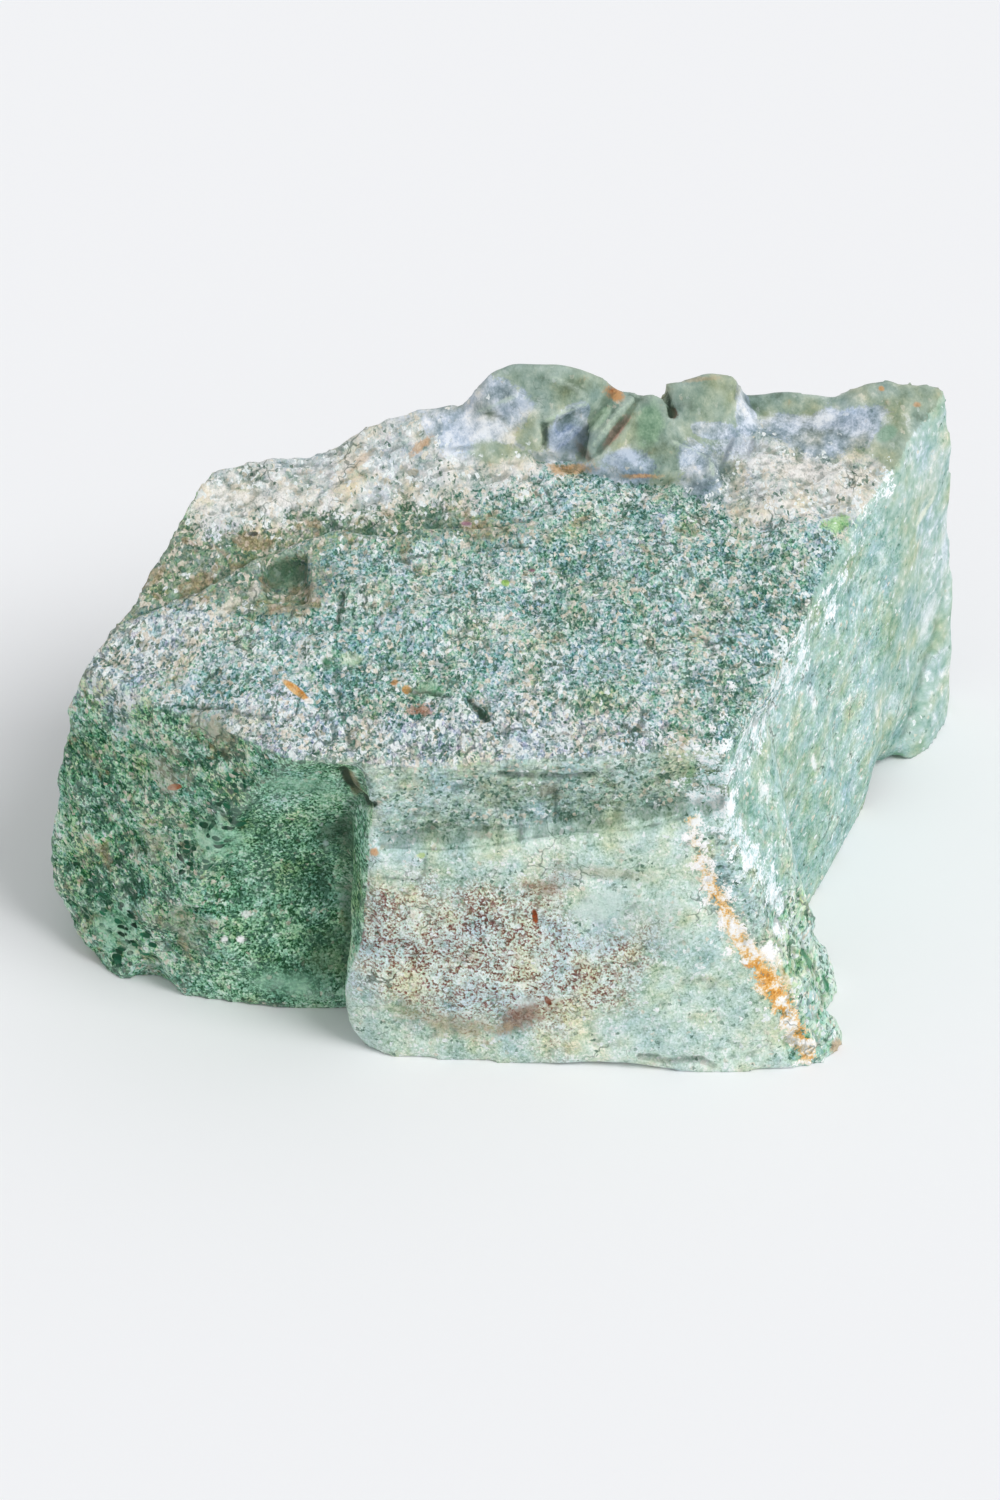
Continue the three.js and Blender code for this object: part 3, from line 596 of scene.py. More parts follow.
# Dark lath crystals, in mm. They grow in clusters of the coarse green rock: place and radius in pixels.
LATH_WIDTH = 0.68
LATH_STRETCH = (0.5, 1, 1.05)
LATH_TURN = (0, math.radians(14), 0)
LATH_SHAKE = (1.3, 0.4)
LATH_SHARE = 0.75
LATH_COLOURS = [(0.0, "#062E1C"), (0.6, "#14543A"), (1.0, "#2F7C58")]
LATH_CLUSTERS = [
    ((204, 846), 30), ((190, 862), 26), ((228, 820), 24), ((236, 784), 14), ((92, 905), 24),
    ((120, 922), 26), ((142, 944), 26), ((120, 962), 18),
]


def linear(code):
    """An sRGB hex value as the linear colour that Blender works in."""
    parts = [int(code[i:i + 2], 16) / 255 for i in (1, 3, 5)]
    return tuple(p / 12.92 if p <= 0.04045 else ((p + 0.055) / 1.055) ** 2.4 for p in parts) + (1.0,)


def smoothstep(low, high, value):
    """0 up to low and 1 from high on, with a soft rise between them."""
    t = np.clip((value - low) / (high - low), 0, 1)
    return t * t * (3 - 2 * t)


# The surface: an evenly faceted copy of the solid, then the rough of each kind of rock.

def fine_copy(node):
    """The node's solid as one closed mesh of small, even facets."""
    bm = bmesh.new()
    bm.from_mesh(node.data)
    bmesh.ops.remove_doubles(bm, verts=bm.verts, dist=MERGE)
    mesh = bpy.data.meshes.new("stone_surface")
    bm.to_mesh(mesh)
    bm.free()
    stone = bpy.data.objects.new("stone_surface", mesh)
    bpy.context.scene.collection.objects.link(stone)
    remesh = stone.modifiers.new("even facets", "REMESH")
    remesh.mode = "VOXEL"
    remesh.voxel_size = FACET
    remesh.use_smooth_shade = True
    depsgraph = bpy.context.evaluated_depsgraph_get()
    fine = bpy.data.meshes.new_from_object(stone.evaluated_get(depsgraph))
    stone.modifiers.clear()
    stone.data = fine
    return stone


def vectors(items, name):
    """The vector that each of these items of a mesh has under this name, one row each."""
    values = np.empty(len(items) * 3, np.float32)
    items.foreach_get(name, values)
    return values.reshape(-1, 3).astype(float)


def place(mesh, points):
    mesh.vertices.foreach_set("co", (points * MM).astype(np.float32).ravel())
    mesh.update()


def relaxed(values, edges, rounds):
    """values, averaged with their neighbours' this many times."""
    count = np.bincount(edges.ravel(), minlength=len(values)).reshape(-1, 1)
    for _ in range(rounds):
        total = np.stack([
            np.bincount(edges[:, 0], values[edges[:, 1], k], len(values))
            + np.bincount(edges[:, 1], values[edges[:, 0], k], len(values))
            for k in range(values.shape[1])
        ], axis=1)
        values = 0.5 * values + 0.5 * total / count
    return values


def wave(points, width, shift):
    """Smooth noise from about -1 to 1, from one swell to the next in width mm."""
    scaled = points / width + shift
    return np.array([noise.noise(p) for p in scaled.tolist()])


def sight(pixel):
    """The way from the camera through a pixel of the photograph."""
    x = (pixel[0] - PHOTO_SIZE[0] / 2) / PIXELS_PER_TANGENT
    y = (PHOTO_SIZE[1] / 2 - pixel[1]) / PIXELS_PER_TANGENT
    return (FORWARD + RIGHT * x + UP * y).normalized()


def seen(shape, pixel):
    """Where a pixel of the photograph falls on the shape, in mm, and the way that the shape faces there. For
    a pixel just outside its outline, this is the nearest place inside."""
    for reach in PIXEL_SEARCH:
        for step in ((0, 1), (-1, 0), (1, 0), (0, -1)):
            near = (pixel[0] + reach * step[0], pixel[1] + reach * step[1])
            spot, facing, _, _ = shape.ray_cast(EYE, sight(near))
            if spot is not None:
                return spot / MM, facing
    raise ValueError(f"nothing of the stone is near {pixel}")


def nearest(points, facings, marks):
    """Distance from each point to the nearest mark, where a turn of the surface counts as distance too."""
    best = np.full(len(points), np.inf)
    for spot, facing in marks:
        gap = ((points - np.array(spot)) ** 2).sum(1)
        turn = ((facings - np.array(facing)) ** 2).sum(1) * TURN_COST ** 2
        best = np.minimum(best, gap + turn)
    return np.sqrt(best)


def spot_distance(points, shape, pixel):
    """Distance in mm from each point to the place that a pixel shows."""
    return np.linalg.norm(points - np.array(seen(shape, pixel)[0]), axis=1)


def line_distance(points, shape, pixels):
    """Distance in mm from each point to the line through the places that these pixels show."""
    corners = [np.array(seen(shape, pixel)[0]) for pixel in pixels]
    best = np.full(len(points), np.inf)
    for a, b in zip(corners[:-1], corners[1:]):
        along = np.clip(((points - a) @ (b - a)) / max((b - a) @ (b - a), 1e-9), 0, 1)
        best = np.minimum(best, np.linalg.norm(points - (a + along[:, None] * (b - a)), axis=1))
    return best


def area_distances(points, facings, shape):
    """Distance from each point to each kind of rock, one column for each."""
    found = []
    for area in AREAS.values():
        marks = [seen(shape, pixel) for pixel in area["marks"]]
        for spot in area["hidden"]:
            place_on, facing, _, _ = shape.find_nearest(Vector(spot) * MM)
            marks.append((place_on / MM, facing))
        found.append(nearest(points, facings, marks))
    return np.stack(found, axis=1)


def softened(points, edges):
    """The flat facets of the solid blend into each other, and its real edges stay."""
    move = relaxed(points, edges, FACET_ROUNDS) - points
    size = np.linalg.norm(move, axis=1, keepdims=True)
    return points + move / (1 + (size / EDGE_KEPT) ** 2)


def worn(points, edges, broad):
    """Where the surface turns sharply outwards, small chips are gone."""
    move = relaxed(points, edges, WEAR_ROUNDS) - points
    sharp = np.clip(-(move * broad).sum(1), 0, None)
    chipped = smoothstep(-0.1, 0.5, wave(points, *CHIP_NOISE)) * smoothstep(*CHIP_EDGE, sharp)
    return points + move * (CHIP_SHARE * chipped)[:, None]


def rough_height(points, relief):
    """How far the rough of the rock lifts each point."""
    swell, bump = (
        sum(share * wave(points, width, shift) for share, width, shift in waves)
        for waves in (SWELL_NOISE, BUMP_NOISE)
    )
    flake = wave(points * np.array(FLAKE_LIE), *FLAKE_NOISE) * FLAKE_STEPS
    terrace = (np.floor(flake) + smoothstep(FLAKE_FLAT, 1.0, flake - np.floor(flake))) / FLAKE_STEPS
    return relief[:, 0] * (swell + FLAKE_SHARE * terrace) + relief[:, 1] * bump


def creased(height, points, shape):
    """The creased height, how far inside a crease each point is, and the painted shade or highlight there."""
    inside, shade_there = np.full(len(points), NO_CREASE), np.zeros(len(points))
    jitter = CREASE_JITTER * wave(points, *CREASE_NOISE)
    for pixels, depth, half, dark in CREASES:
        gap = line_distance(points, shape, pixels) + jitter
        height = height - depth * (1 - smoothstep(0, half + CREASE_SIDE, gap))
        shade_there = np.where(half - gap > inside, dark, shade_there)
        inside = np.maximum(inside, half - gap)
    return height, inside, shade_there


def filled_out(points, edges, shape):
    """The stone with its swells, and smooth where it is worn smooth."""
    for pixel, wide, right, up in SWELLS:
        near = np.exp(-((spot_distance(points, shape, pixel) / wide) ** 2))
        points = points + near[:, None] * np.array((right, 0, up))
    melted = relaxed(points, edges, MELT_ROUNDS)
    for pixel, wide, share in MELTED:
        near = 1 - smoothstep(*MELT_RIM, spot_distance(points, shape, pixel) / wide)
        points = points + share * near[:, None] * (melted - points)
    return points


def keep(mesh, name, values):
    layer = mesh.attributes.new(name, "FLOAT", "POINT")
    layer.data.foreach_set("value", np.asarray(values, np.float32))


def carve(stone):
    """Gives the even surface the rough of broken rock, and keeps on it where each kind of rock is. Returns
    the shape below the rough, which is the one that the photograph's pixels are looked up on."""
    mesh = stone.data
    edges = np.empty(len(mesh.edges) * 2, np.int32)
    mesh.edges.foreach_get("vertices", edges)
    edges = edges.reshape(-1, 2)
    points = softened(vectors(mesh.vertices, "co") / MM, edges)
    place(mesh, points)
    broad = relaxed(vectors(mesh.vertex_normals, "vector"), edges, BROAD_ROUNDS)
    broad /= np.linalg.norm(broad, axis=1, keepdims=True)
    bm = bmesh.new()
    bm.from_mesh(mesh)
    shape = BVHTree.FromBMesh(bm)
    bm.free()

    distances = area_distances(points, broad, shape)
    shares = np.exp((distances.min(axis=1, keepdims=True) - distances) / RELIEF_BLEND)
    shares /= shares.sum(axis=1, keepdims=True)
    relief, gloss, flecks = (
        shares @ np.array([area[name] for area in AREAS.values()]) for name in ("relief", "gloss", "flecks")
    )

    points = worn(points, edges, broad)
    height, crease, crease_shade = creased(rough_height(points, relief), points, shape)
    points = filled_out(points, edges, shape)

    # The underside stays flat, and nothing goes below it.
    height = height * smoothstep(*BASE_FADE, points[:, 2])
    points = points + broad * height[:, None]
    points[:, 2] = np.maximum(points[:, 2], 0)
    place(mesh, points)

    # An area is laid over the ones before it, so its edge is the edge with those.
    for k, name in list(enumerate(AREAS))[1:]:
        keep(mesh, name, (distances[:, :k].min(axis=1) - distances[:, k]) / 2)
    for name, vein in VEINS.items():
        inner = [half - line_distance(points, shape, line) for line, half in zip(vein["lines"], vein["half"])]
        keep(mesh, name, np.max(inner, axis=0) * vein["falloff"])
    keep(mesh, "crease", crease)
    # How much painted shade each crease gets, and below zero how much painted highlight each ridge gets.
    keep(mesh, "crease shade", crease_shade)
    # Depth below the averaged surface, by which the material paints shade in hollows and a highlight on
    # raised places.
    for name, (rounds, *_) in HOLLOW_SHADING.items():
        keep(mesh, name, ((relaxed(points, edges, rounds) - points) * broad).sum(1))
    keep(mesh, "grit", relief[:, 2])
    keep(mesh, "gloss", gloss)
    strewn = relaxed(flecks, edges, FLECK_ROUNDS)
    for k, name in enumerate(FLECKS):
        keep(mesh, name, strewn[:, k])
    for polygon in mesh.polygons:
        polygon.use_smooth = True
    return shape


# The rock's material. Its layers are laid one over the other, each in a function of its own.

def add(tree, kind, inputs=None, stops=None, **settings):
    """Adds a node with its settings and links. inputs maps a socket's name or number to a value or another
    socket, and stops are the colours of a ramp by their place on it."""
    node = tree.nodes.new(kind)
    for name, value in settings.items():
        setattr(node, name, value)
    for key, value in (inputs or {}).items():
        socket = node.inputs[key]
        if isinstance(value, bpy.types.NodeSocket):
            tree.links.new(value, socket)
        else:
            socket.default_value = value
    if stops:
        elements = node.color_ramp.elements
        elements.remove(elements[1])
        elements[0].position, elements[0].color = stops[0][0], linear(stops[0][1])
        for position, code in stops[1:]:
            elements.new(position).color = linear(code)
    return node


def shake(tree, vector, size, far):
    """vector, pushed about by noise of this size, up to about far mm either way."""
    drift = add(tree, "ShaderNodeTexNoise", {"Vector": vector, "Scale": 1 / size, "Detail": 1.0})
    push = add(tree, "ShaderNodeVectorMath", {
        0: drift.outputs["Color"], 1: (0.5, 0.5, 0.5),
    }, operation="SUBTRACT").outputs[0]
    return add(tree, "ShaderNodeVectorMath", {
        0: push, 1: (2 * far, 2 * far, 2 * far), 2: vector,
    }, operation="MULTIPLY_ADD").outputs[0]


def rock_grain(tree):
    """The grain of the rock: the places in mm that it is drawn on, its seven patterns from 0 to 1 as two
    vectors and a value, and sums of some of them."""
    place_mm = add(tree, "ShaderNodeVectorMath", {
        0: add(tree, "ShaderNodeTexCoord").outputs["Object"], "Scale": 1 / MM,
    }, operation="SCALE").outputs[0]
    deep = add(tree, "ShaderNodeMapping", {"Vector": place_mm, "Scale": DEEP_GRAIN}).outputs[0]
    ways = {"deep": deep, "shaken": shake(tree, deep, *GRAIN_SHAKE)}
    for name, (turn, stretch) in STREAKS.items():
        ways[name] = add(tree, "ShaderNodeMapping", {
            "Vector": place_mm, "Rotation": turn, "Scale": stretch,
        }).outputs[0]
    values = []
    for size, detail, way in PATTERNS:
        if detail is None:
            grains = add(tree, "ShaderNodeTexVoronoi", {"Vector": ways[way], "Scale": 1 / size})
            lots = add(tree, "ShaderNodeSeparateColor", {0: grains.outputs["Color"]})
            values.append(lots.outputs[0])
            continue
        cloud = add(tree, "ShaderNodeTexNoise", {
            "Vector": ways[way], "Scale": 1 / size, "Detail": detail, "Roughness": 0.6,
        })
        values.append(add(tree, "ShaderNodeMapRange", {
            "Value": cloud.outputs["Fac"], "From Min": 0.3, "From Max": 0.7,
        }, clamp=False).outputs[0])
    first = add(tree, "ShaderNodeCombineXYZ", dict(enumerate(values[0:3]))).outputs[0]
    second = add(tree, "ShaderNodeCombineXYZ", dict(enumerate(values[3:6]))).outputs[0]
    cell, fine, mottle = add(tree, "ShaderNodeSeparateXYZ", {0: first}).outputs
    grit = add(tree, "ShaderNodeAttribute", attribute_name="grit").outputs["Fac"]
    ragged = add(tree, "ShaderNodeMath", {
        0: fine, 1: FINE_SHARE, 2: mottle,
    }, operation="MULTIPLY_ADD").outputs[0]
    even = add(tree, "ShaderNodeMath", {0: ragged, 1: 1 / (1 + FINE_SHARE)}, operation="MULTIPLY").outputs[0]
    return SimpleNamespace(
        place_mm=place_mm, deep=deep, shaken=ways["shaken"], patterns=(first, second, values[6]),
        cell=cell, fine=fine, mottle=mottle, grit=grit, ragged=ragged, even=even,
    )


def grain_value(tree, grain, shares, contrast=1.0):
    """The sum of the patterns by their shares, from 0 to 1, spread about its middle by contrast."""
    first, second, third = grain.patterns
    one = add(tree, "ShaderNodeVectorMath", {0: first, 1: shares[0:3]}, operation="DOT_PRODUCT")
    two = add(tree, "ShaderNodeVectorMath", {0: second, 1: shares[3:6]}, operation="DOT_PRODUCT")
    both = add(tree, "ShaderNodeMath", {0: one.outputs["Value"], 1: two.outputs["Value"]})
    total = add(tree, "ShaderNodeMath", {
        0: third, 1: shares[6], 2: both.outputs[0],
    }, operation="MULTIPLY_ADD").outputs[0]
    return add(tree, "ShaderNodeMath", {
        0: total, 1: contrast / sum(shares), 2: 0.5 - 0.5 * contrast,
    }, operation="MULTIPLY_ADD").outputs[0]


def lay_areas(tree, grain):
    """The kinds of rock. One gives way to the next grain by grain."""
    blend = grain_value(tree, grain, BLEND_GRAIN)
    colour = None
    for name, area in AREAS.items():
        value = grain_value(tree, grain, area["grain"], area["contrast"])
        own = add(tree, "ShaderNodeValToRGB", {0: value}, area["ramp"]).outputs[0]
        if colour is None:
            colour = own
            continue
        field = add(tree, "ShaderNodeAttribute", attribute_name=name).outputs["Fac"]
        reach = area["blend"]
        edge = add(tree, "ShaderNodeMath", {
            0: blend, 1: reach, 2: field,
        }, operation="MULTIPLY_ADD").outputs[0]
        inside = add(tree, "ShaderNodeMapRange", {
            "Value": edge, "From Min": 0.37 * reach - 0.1, "From Max": 0.63 * reach + 0.1,
        }, interpolation_type="SMOOTHSTEP", clamp=False).outputs[0]
        colour = add(tree, "ShaderNodeMix", {0: inside, 6: colour, 7: own}, data_type="RGBA").outputs[2]
    return colour


def drift_hue(tree, colour, grain):
    """The rock drifts between bluish and yellowish."""
    drift = add(tree, "ShaderNodeTexNoise", {"Vector": grain.deep, "Scale": 1 / DRIFT_SIZE, "Detail": 4.0})
    tint = add(tree, "ShaderNodeValToRGB", {0: drift.outputs["Fac"]}, DRIFT_TINTS).outputs[0]
    return add(tree, "ShaderNodeMix", {
        0: 1.0, 6: colour, 7: tint,
    }, data_type="RGBA", blend_type="MULTIPLY").outputs[2]


def strew_flecks(tree, colour, grain):
    """Grains of other minerals, in loose clusters."""
    grains = add(tree, "ShaderNodeTexVoronoi", {"Vector": grain.shaken, "Scale": 1 / GRAIN_SIZE})
    lots = add(tree, "ShaderNodeSeparateColor", {0: grains.outputs["Color"]}).outputs
    small = add(tree, "ShaderNodeTexVoronoi", {"Vector": grain.shaken, "Scale": 1 / SMALL_GRAIN_SIZE})
    small_lots = add(tree, "ShaderNodeSeparateColor", {0: small.outputs["Color"]}).outputs
    stain = add(tree, "ShaderNodeTexNoise", {
        "Vector": grain.deep, "Scale": 1 / STAIN_SIZE, "Detail": 5.0, "Roughness": 0.75,
    })
    stained = add(tree, "ShaderNodeMapRange", {
        "Value": stain.outputs["Fac"], "From Min": 0.72, "From Max": 0.3,
    }, clamp=False).outputs[0]
    picks = dict(zip(FLECKS, (lots[0], lots[1], small_lots[2], stained)))
    varied = add(tree, "ShaderNodeMapRange", {
        "Value": grain.grit, "From Min": 0.4, "From Max": 1.0, "To Max": GRAIN_VARIETY,
    }).outputs[0]
    colour = add(tree, "ShaderNodeMix", {
        0: varied, 6: colour, 7: grains.outputs["Color"],
    }, data_type="RGBA", blend_type="SOFT_LIGHT").outputs[2]
    for k, (name, (dark, light, cover, soft)) in enumerate(FLECKS.items()):
        share = add(tree, "ShaderNodeAttribute", attribute_name=name).outputs["Fac"]
        cluster = add(tree, "ShaderNodeTexNoise", {
            "Vector": grain.deep, "Scale": 1 / (1.5 + 0.6 * k), "Detail": 2.0, "Distortion": 0.4 * k,
        })
        dense = add(tree, "ShaderNodeMapRange", {
            "Value": cluster.outputs["Fac"], "From Min": 0.38, "From Max": 0.68, "To Max": 2.6,
        }, clamp=False).outputs[0]
        amount = add(tree, "ShaderNodeMath", {0: share, 1: dense}, operation="MULTIPLY").outputs[0]
        over = add(tree, "ShaderNodeMath", {0: amount, 1: picks[name]}, operation="SUBTRACT").outputs[0]
        inside = add(tree, "ShaderNodeMapRange", {
            "Value": over, "From Min": -0.5 * soft, "From Max": soft, "To Max": cover,
        }, interpolation_type="SMOOTHSTEP", clamp=False).outputs[0]
        own = add(tree, "ShaderNodeValToRGB", {0: grain.fine}, [(0.0, dark), (1.0, light)]).outputs[0]
        colour = add(tree, "ShaderNodeMix", {0: inside, 6: colour, 7: own}, data_type="RGBA").outputs[2]
    return colour


def lay_spots(tree, colour, grain, shape):
    """Spots and stains, and a few of painted shade, each an oval ball around its place on the stone."""
    facing_eye = Matrix((RIGHT, UP, -FORWARD)).transposed()
    for centre, halves, turn, soft, broken, strength, dark, light in SPOTS:
        spot, _ = seen(shape, centre)
        axes = facing_eye @ Matrix.Rotation(math.radians(turn), 3, "Z")
        across = add(tree, "ShaderNodeMapping", {
            "Vector": grain.place_mm,
            "Location": spot,
            "Rotation": axes.to_euler(),
            "Scale": (2 * halves[0] * PIXEL / MM, 2 * halves[1] * PIXEL / MM, SPOT_DEPTH),
        }, vector_type="TEXTURE").outputs[0]
        glow = add(tree, "ShaderNodeTexGradient", {"Vector": across}, gradient_type="SPHERICAL")
        torn = add(tree, "ShaderNodeMath", {
            0: grain.ragged, 1: 0.5 * broken, 2: glow.outputs["Fac"],
        }, operation="MULTIPLY_ADD").outputs[0]
        inside = add(tree, "ShaderNodeMapRange", {
            "Value": torn,
            "From Min": 0.5 + 0.35 * broken,
            "From Max": 0.5 + 0.35 * broken + 0.5 * soft,
            "To Max": strength,
        }, interpolation_type="SMOOTHSTEP", clamp=False).outputs[0]
        own = add(tree, "ShaderNodeValToRGB", {0: grain.even}, [(0.25, dark), (0.75, light)]).outputs[0]
        colour = add(tree, "ShaderNodeMix", {0: inside, 6: colour, 7: own}, data_type="RGBA").outputs[2]
    return colour


def lay_laths(tree, colour, grain, shape):
    """Dark green laths, a millimetre long, in clusters."""
    where = None
    for centre, radius in LATH_CLUSTERS:
        spot, _ = seen(shape, centre)
        away = add(tree, "ShaderNodeVectorMath", {0: grain.place_mm, 1: spot}, operation="DISTANCE")
        near = add(tree, "ShaderNodeMapRange", {
            "Value": away.outputs["Value"],
            "From Min": radius * PIXEL / MM * 1.15,
            "From Max": radius * PIXEL / MM * 0.8,
        }).outputs[0]
        where = near if where is None else add(
            tree, "ShaderNodeMath", {0: where, 1: near}, operation="MAXIMUM",
        ).outputs[0]
    long = add(tree, "ShaderNodeMapping", {
        "Vector": grain.place_mm, "Rotation": LATH_TURN, "Scale": LATH_STRETCH,
    }).outputs[0]
    laths = add(tree, "ShaderNodeTexVoronoi", {
        "Vector": shake(tree, long, *LATH_SHAKE), "Scale": 1 / LATH_WIDTH,
    })
    pick = add(tree, "ShaderNodeSeparateColor", {0: laths.outputs["Color"]})
    chosen = add(tree, "ShaderNodeMath", {0: pick.outputs[1], 1: LATH_SHARE}, operation="LESS_THAN")
    body = add(tree, "ShaderNodeMapRange", {
        "Value": laths.outputs["Distance"], "From Min": 0.5, "From Max": 0.4,
    }).outputs[0]
    shown = add(tree, "ShaderNodeMath", {0: chosen.outputs[0], 1: body}, operation="MULTIPLY").outputs[0]
    inside = add(tree, "ShaderNodeMath", {0: shown, 1: where}, operation="MULTIPLY").outputs[0]
    own = add(tree, "ShaderNodeValToRGB", {0: pick.outputs[2]}, LATH_COLOURS).outputs[0]
    return add(tree, "ShaderNodeMix", {0: inside, 6: colour, 7: own}, data_type="RGBA").outputs[2]


def lay_veins(tree, colour, grain):
    """The veins and the painted ledge highlight, with edges that the rock's mottle breaks."""
    for name, vein in VEINS.items():
        value = grain_value(tree, grain, vein["grain"], vein["contrast"])
        field = add(tree, "ShaderNodeAttribute", attribute_name=name).outputs["Fac"]
        edge = add(tree, "ShaderNodeMath", {
            0: grain.ragged, 1: vein["ragged"], 2: field,
        }, operation="MULTIPLY_ADD").outputs[0]
        inside = add(tree, "ShaderNodeMapRange", {
            "Value": edge, "From Min": vein["ragged"] * 0.75, "From Max": vein["ragged"] * 0.75 + 0.35,
        }, interpolation_type="SMOOTHSTEP", clamp=False).outputs[0]
        own = add(tree, "ShaderNodeValToRGB", {0: value}, vein["ramp"]).outputs[0]
        colour = add(tree, "ShaderNodeMix", {0: inside, 6: colour, 7: own}, data_type="RGBA").outputs[2]
    return colour


def draw_cracks(tree, colour, grain):
    """Hair cracks, open in some places and closed in others."""
    web = add(tree, "ShaderNodeTexVoronoi", {
        "Vector": shake(tree, grain.deep, *CRACK_SHAKE), "Scale": 1 / CRACK_SPACING,
    }, feature="DISTANCE_TO_EDGE").outputs["Distance"]
    where = add(tree, "ShaderNodeTexNoise", {"Vector": grain.deep, "Scale": 1 / CRACK_LENGTH, "Detail": 1.0})
    width = add(tree, "ShaderNodeMapRange", {
        "Value": where.outputs["Fac"], "From Min": 0.5, "From Max": 0.75, "To Max": CRACK_WIDTH,
    }).outputs[0]
    narrow = add(tree, "ShaderNodeMath", {0: width, 1: grain.grit}, operation="MULTIPLY").outputs[0]
    open_by = add(tree, "ShaderNodeMath", {0: narrow, 1: web}, operation="SUBTRACT").outputs[0]
    cracked = add(tree, "ShaderNodeMapRange", {
        "Value": open_by, "From Min": -0.01, "From Max": 0.03, "To Max": 0.65,
    }, interpolation_type="SMOOTHSTEP", clamp=False).outputs[0]
    return add(tree, "ShaderNodeMix", {
        0: cracked, 6: colour, 7: linear(CRACK_COLOUR),
    }, data_type="RGBA").outputs[2]


def shade_hollows(tree, colour):
    """Painted shade and some dark grit darken the hollows, and a painted highlight lightens the raised tops.
    """
    for name, (_, reach, dark, pale) in HOLLOW_SHADING.items():
        depth = add(tree, "ShaderNodeAttribute", attribute_name=name).outputs["Fac"]
        # Painted shade in the hollows, then a painted highlight on the raised tops.
        for side, cover, code in ((1, dark, HOLLOW_SHADE_COLOUR), (-1, pale, TOP_HIGHLIGHT_COLOUR)):
            shown = add(tree, "ShaderNodeMapRange", {
                "Value": depth, "From Min": 0.1 * side * reach, "From Max": side * reach, "To Max": cover,
            }, interpolation_type="SMOOTHSTEP", clamp=False).outputs[0]
            colour = add(tree, "ShaderNodeMix", {
                0: shown, 6: colour, 7: linear(code),
            }, data_type="RGBA").outputs[2]
    return colour


def shade_creases(tree, colour, grain):
    """Painted shade darkens the creases, and a painted highlight lightens the ridges between the crystals."""
    crease = add(tree, "ShaderNodeAttribute", attribute_name="crease").outputs["Fac"]
    torn = add(tree, "ShaderNodeMath", {0: grain.fine, 1: 0.14, 2: crease}, operation="MULTIPLY_ADD")
    within = add(tree, "ShaderNodeMapRange", {
        "Value": torn.outputs[0], "From Min": -0.06, "From Max": 0.18,
    }, interpolation_type="SMOOTHSTEP", clamp=False).outputs[0]
    crease_shade = add(tree, "ShaderNodeAttribute", attribute_name="crease shade").outputs["Fac"]
    # Painted shade in the creases, then a painted highlight on the ridges.
    for sign, code in ((1, CREASE_SHADE_COLOUR), (-1, RIDGE_HIGHLIGHT_COLOUR)):
        shade = add(tree, "ShaderNodeMath", {
            0: crease_shade, 1: sign,
        }, operation="MULTIPLY", use_clamp=True).outputs[0]
        lined = add(tree, "ShaderNodeMath", {0: shade, 1: within}, operation="MULTIPLY").outputs[0]
        colour = add(tree, "ShaderNodeMix", {
            0: lined, 6: colour, 7: linear(code),
        }, data_type="RGBA").outputs[2]
    return colour


def grit_normal(tree, grain):
    """Grit in the shading alone: crystals a quarter of a millimetre wide are finer than the mesh."""
    rise = add(tree, "ShaderNodeMath", {0: grain.fine, 1: 0.6, 2: grain.cell}, operation="MULTIPLY_ADD")
    swell = add(tree, "ShaderNodeMath", {
        0: grain.mottle, 1: 1.6, 2: rise.outputs[0],
    }, operation="MULTIPLY_ADD").outputs[0]
    raised = add(tree, "ShaderNodeMath", {0: swell, 1: grain.grit}, operation="MULTIPLY").outputs[0]
    bump = add(tree, "ShaderNodeBump", {"Height": raised, "Strength": 1.0, "Distance": GRIT_HEIGHT})
    return bump.outputs["Normal"]


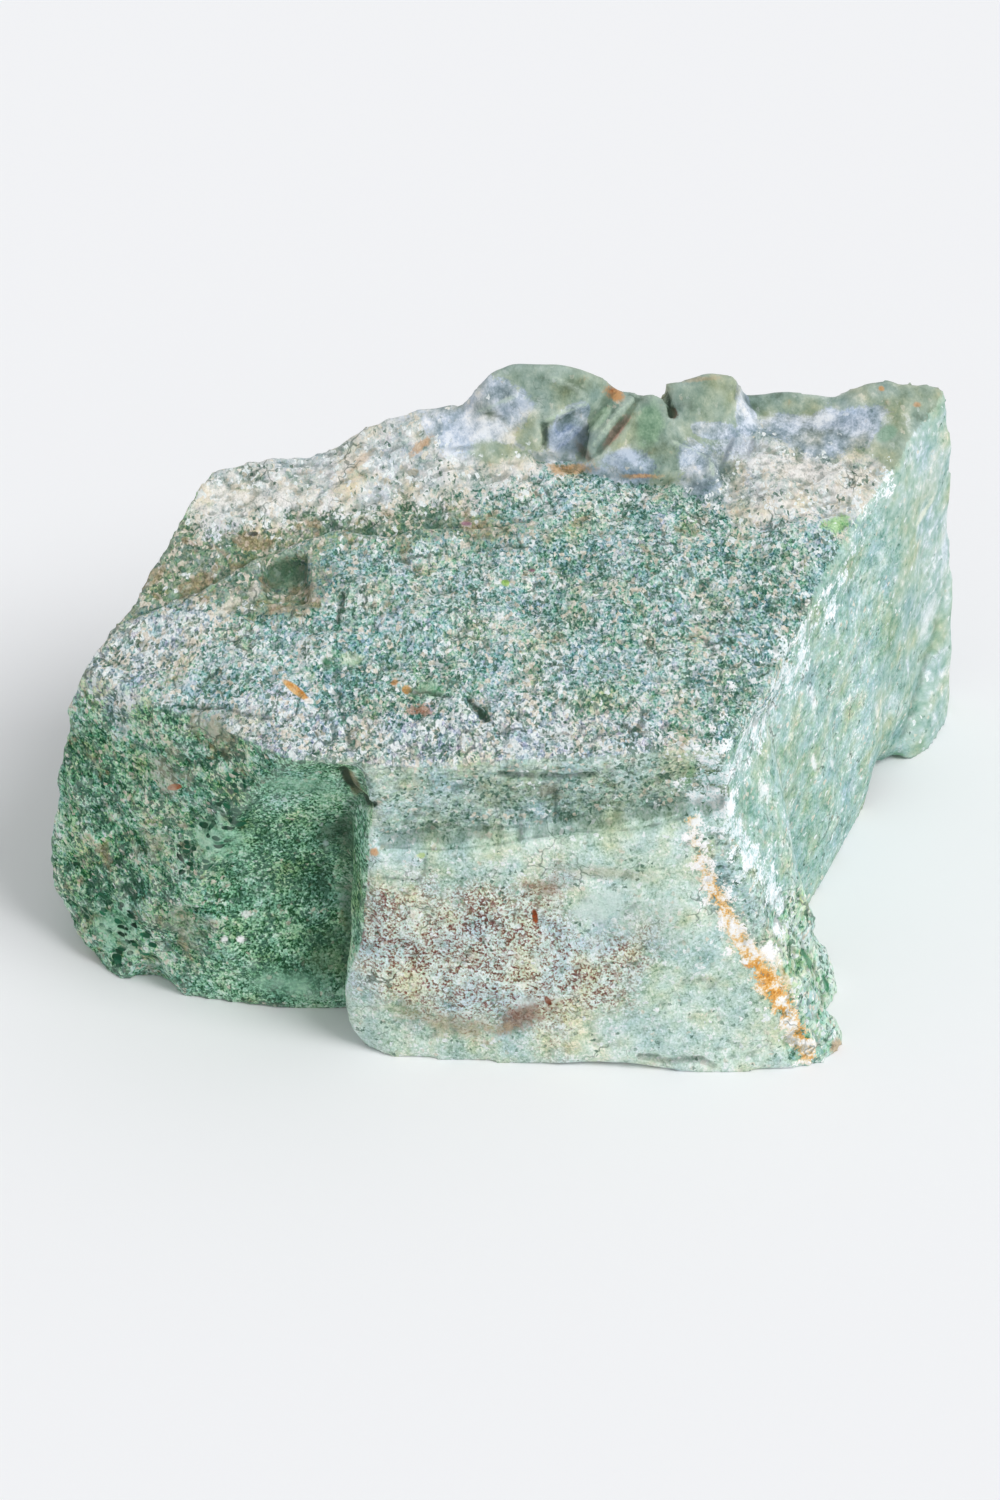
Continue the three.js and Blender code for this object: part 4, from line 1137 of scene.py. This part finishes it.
def rock_material(shape):
    """Zeolite rock as it breaks: a grainy mass of green, white and grey crystals, dull to the eye but for a
    few fine facets that shine."""
    material = bpy.data.materials.new("broken zeolite rock")
    material.use_nodes = True
    tree = material.node_tree
    shader = tree.nodes["Principled BSDF"]
    grain = rock_grain(tree)
    colour = lay_areas(tree, grain)
    colour = drift_hue(tree, colour, grain)
    colour = strew_flecks(tree, colour, grain)
    colour = lay_spots(tree, colour, grain, shape)
    colour = lay_laths(tree, colour, grain, shape)
    colour = lay_veins(tree, colour, grain)
    colour = draw_cracks(tree, colour, grain)
    colour = shade_hollows(tree, colour)
    colour = shade_creases(tree, colour, grain)
    tree.links.new(colour, shader.inputs["Base Color"])
    gloss = add(tree, "ShaderNodeAttribute", attribute_name="gloss").outputs["Fac"]
    dull = add(tree, "ShaderNodeMath", {0: grain.cell, 1: 0.18, 2: gloss}, operation="MULTIPLY_ADD")
    tree.links.new(dull.outputs[0], shader.inputs["Roughness"])
    shader.inputs["Specular IOR Level"].default_value = 0.2
    shader.inputs["IOR"].default_value = 1.48
    tree.links.new(grit_normal(tree, grain), shader.inputs["Normal"])
    return material


# The floor, the camera and the light.

def card_material():
    """Matt white card: it takes a soft shadow and has no shine."""
    material = bpy.data.materials.new("matt card")
    material.use_nodes = True
    shader = material.node_tree.nodes["Principled BSDF"]
    shader.inputs["Base Color"].default_value = linear("#F1F2F4")
    shader.inputs["Roughness"].default_value = 0.9
    return material


def build_floor():
    bm = bmesh.new()
    bmesh.ops.create_grid(bm, x_segments=1, y_segments=1, size=3.0)
    mesh = bpy.data.meshes.new("floor")
    bm.to_mesh(mesh)
    bm.free()
    floor = bpy.data.objects.new("floor", mesh)
    bpy.context.scene.collection.objects.link(floor)
    mesh.materials.append(card_material())


def build_camera():
    data = bpy.data.cameras.new("camera")
    data.lens = LENS
    data.sensor_fit = "VERTICAL"
    data.sensor_height = SENSOR_HEIGHT
    data.clip_end = 20
    camera = bpy.data.objects.new("camera", data)
    camera.location = EYE
    camera.rotation_euler = FORWARD.to_track_quat("-Z", "Y").to_euler()
    bpy.context.scene.collection.objects.link(camera)
    bpy.context.scene.camera = camera


def build_lights():
    """A wide window to the right in front, in a pale room."""
    data = bpy.data.lights.new("window", "SUN")
    data.energy = 1.8
    data.angle = math.radians(34)
    window = bpy.data.objects.new("window", data)
    window.rotation_euler = Vector((-0.75, 0.45, -0.95)).to_track_quat("-Z", "Y").to_euler()
    bpy.context.scene.collection.objects.link(window)
    world = bpy.data.worlds.new("studio")
    world.use_nodes = True
    shader = world.node_tree.nodes["Background"]
    shader.inputs["Color"].default_value = linear("#F5F5F6")
    shader.inputs["Strength"].default_value = 0.645
    bpy.context.scene.world = world
    bpy.context.scene.view_settings.view_transform = "Standard"


build_camera()
build_lights()
build_floor()
stone = fine_copy(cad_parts["zeolite_stone"])
shape = carve(stone)
stone.data.materials.clear()
stone.data.materials.append(rock_material(shape))
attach(stone, "root")
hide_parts("zeolite_stone")
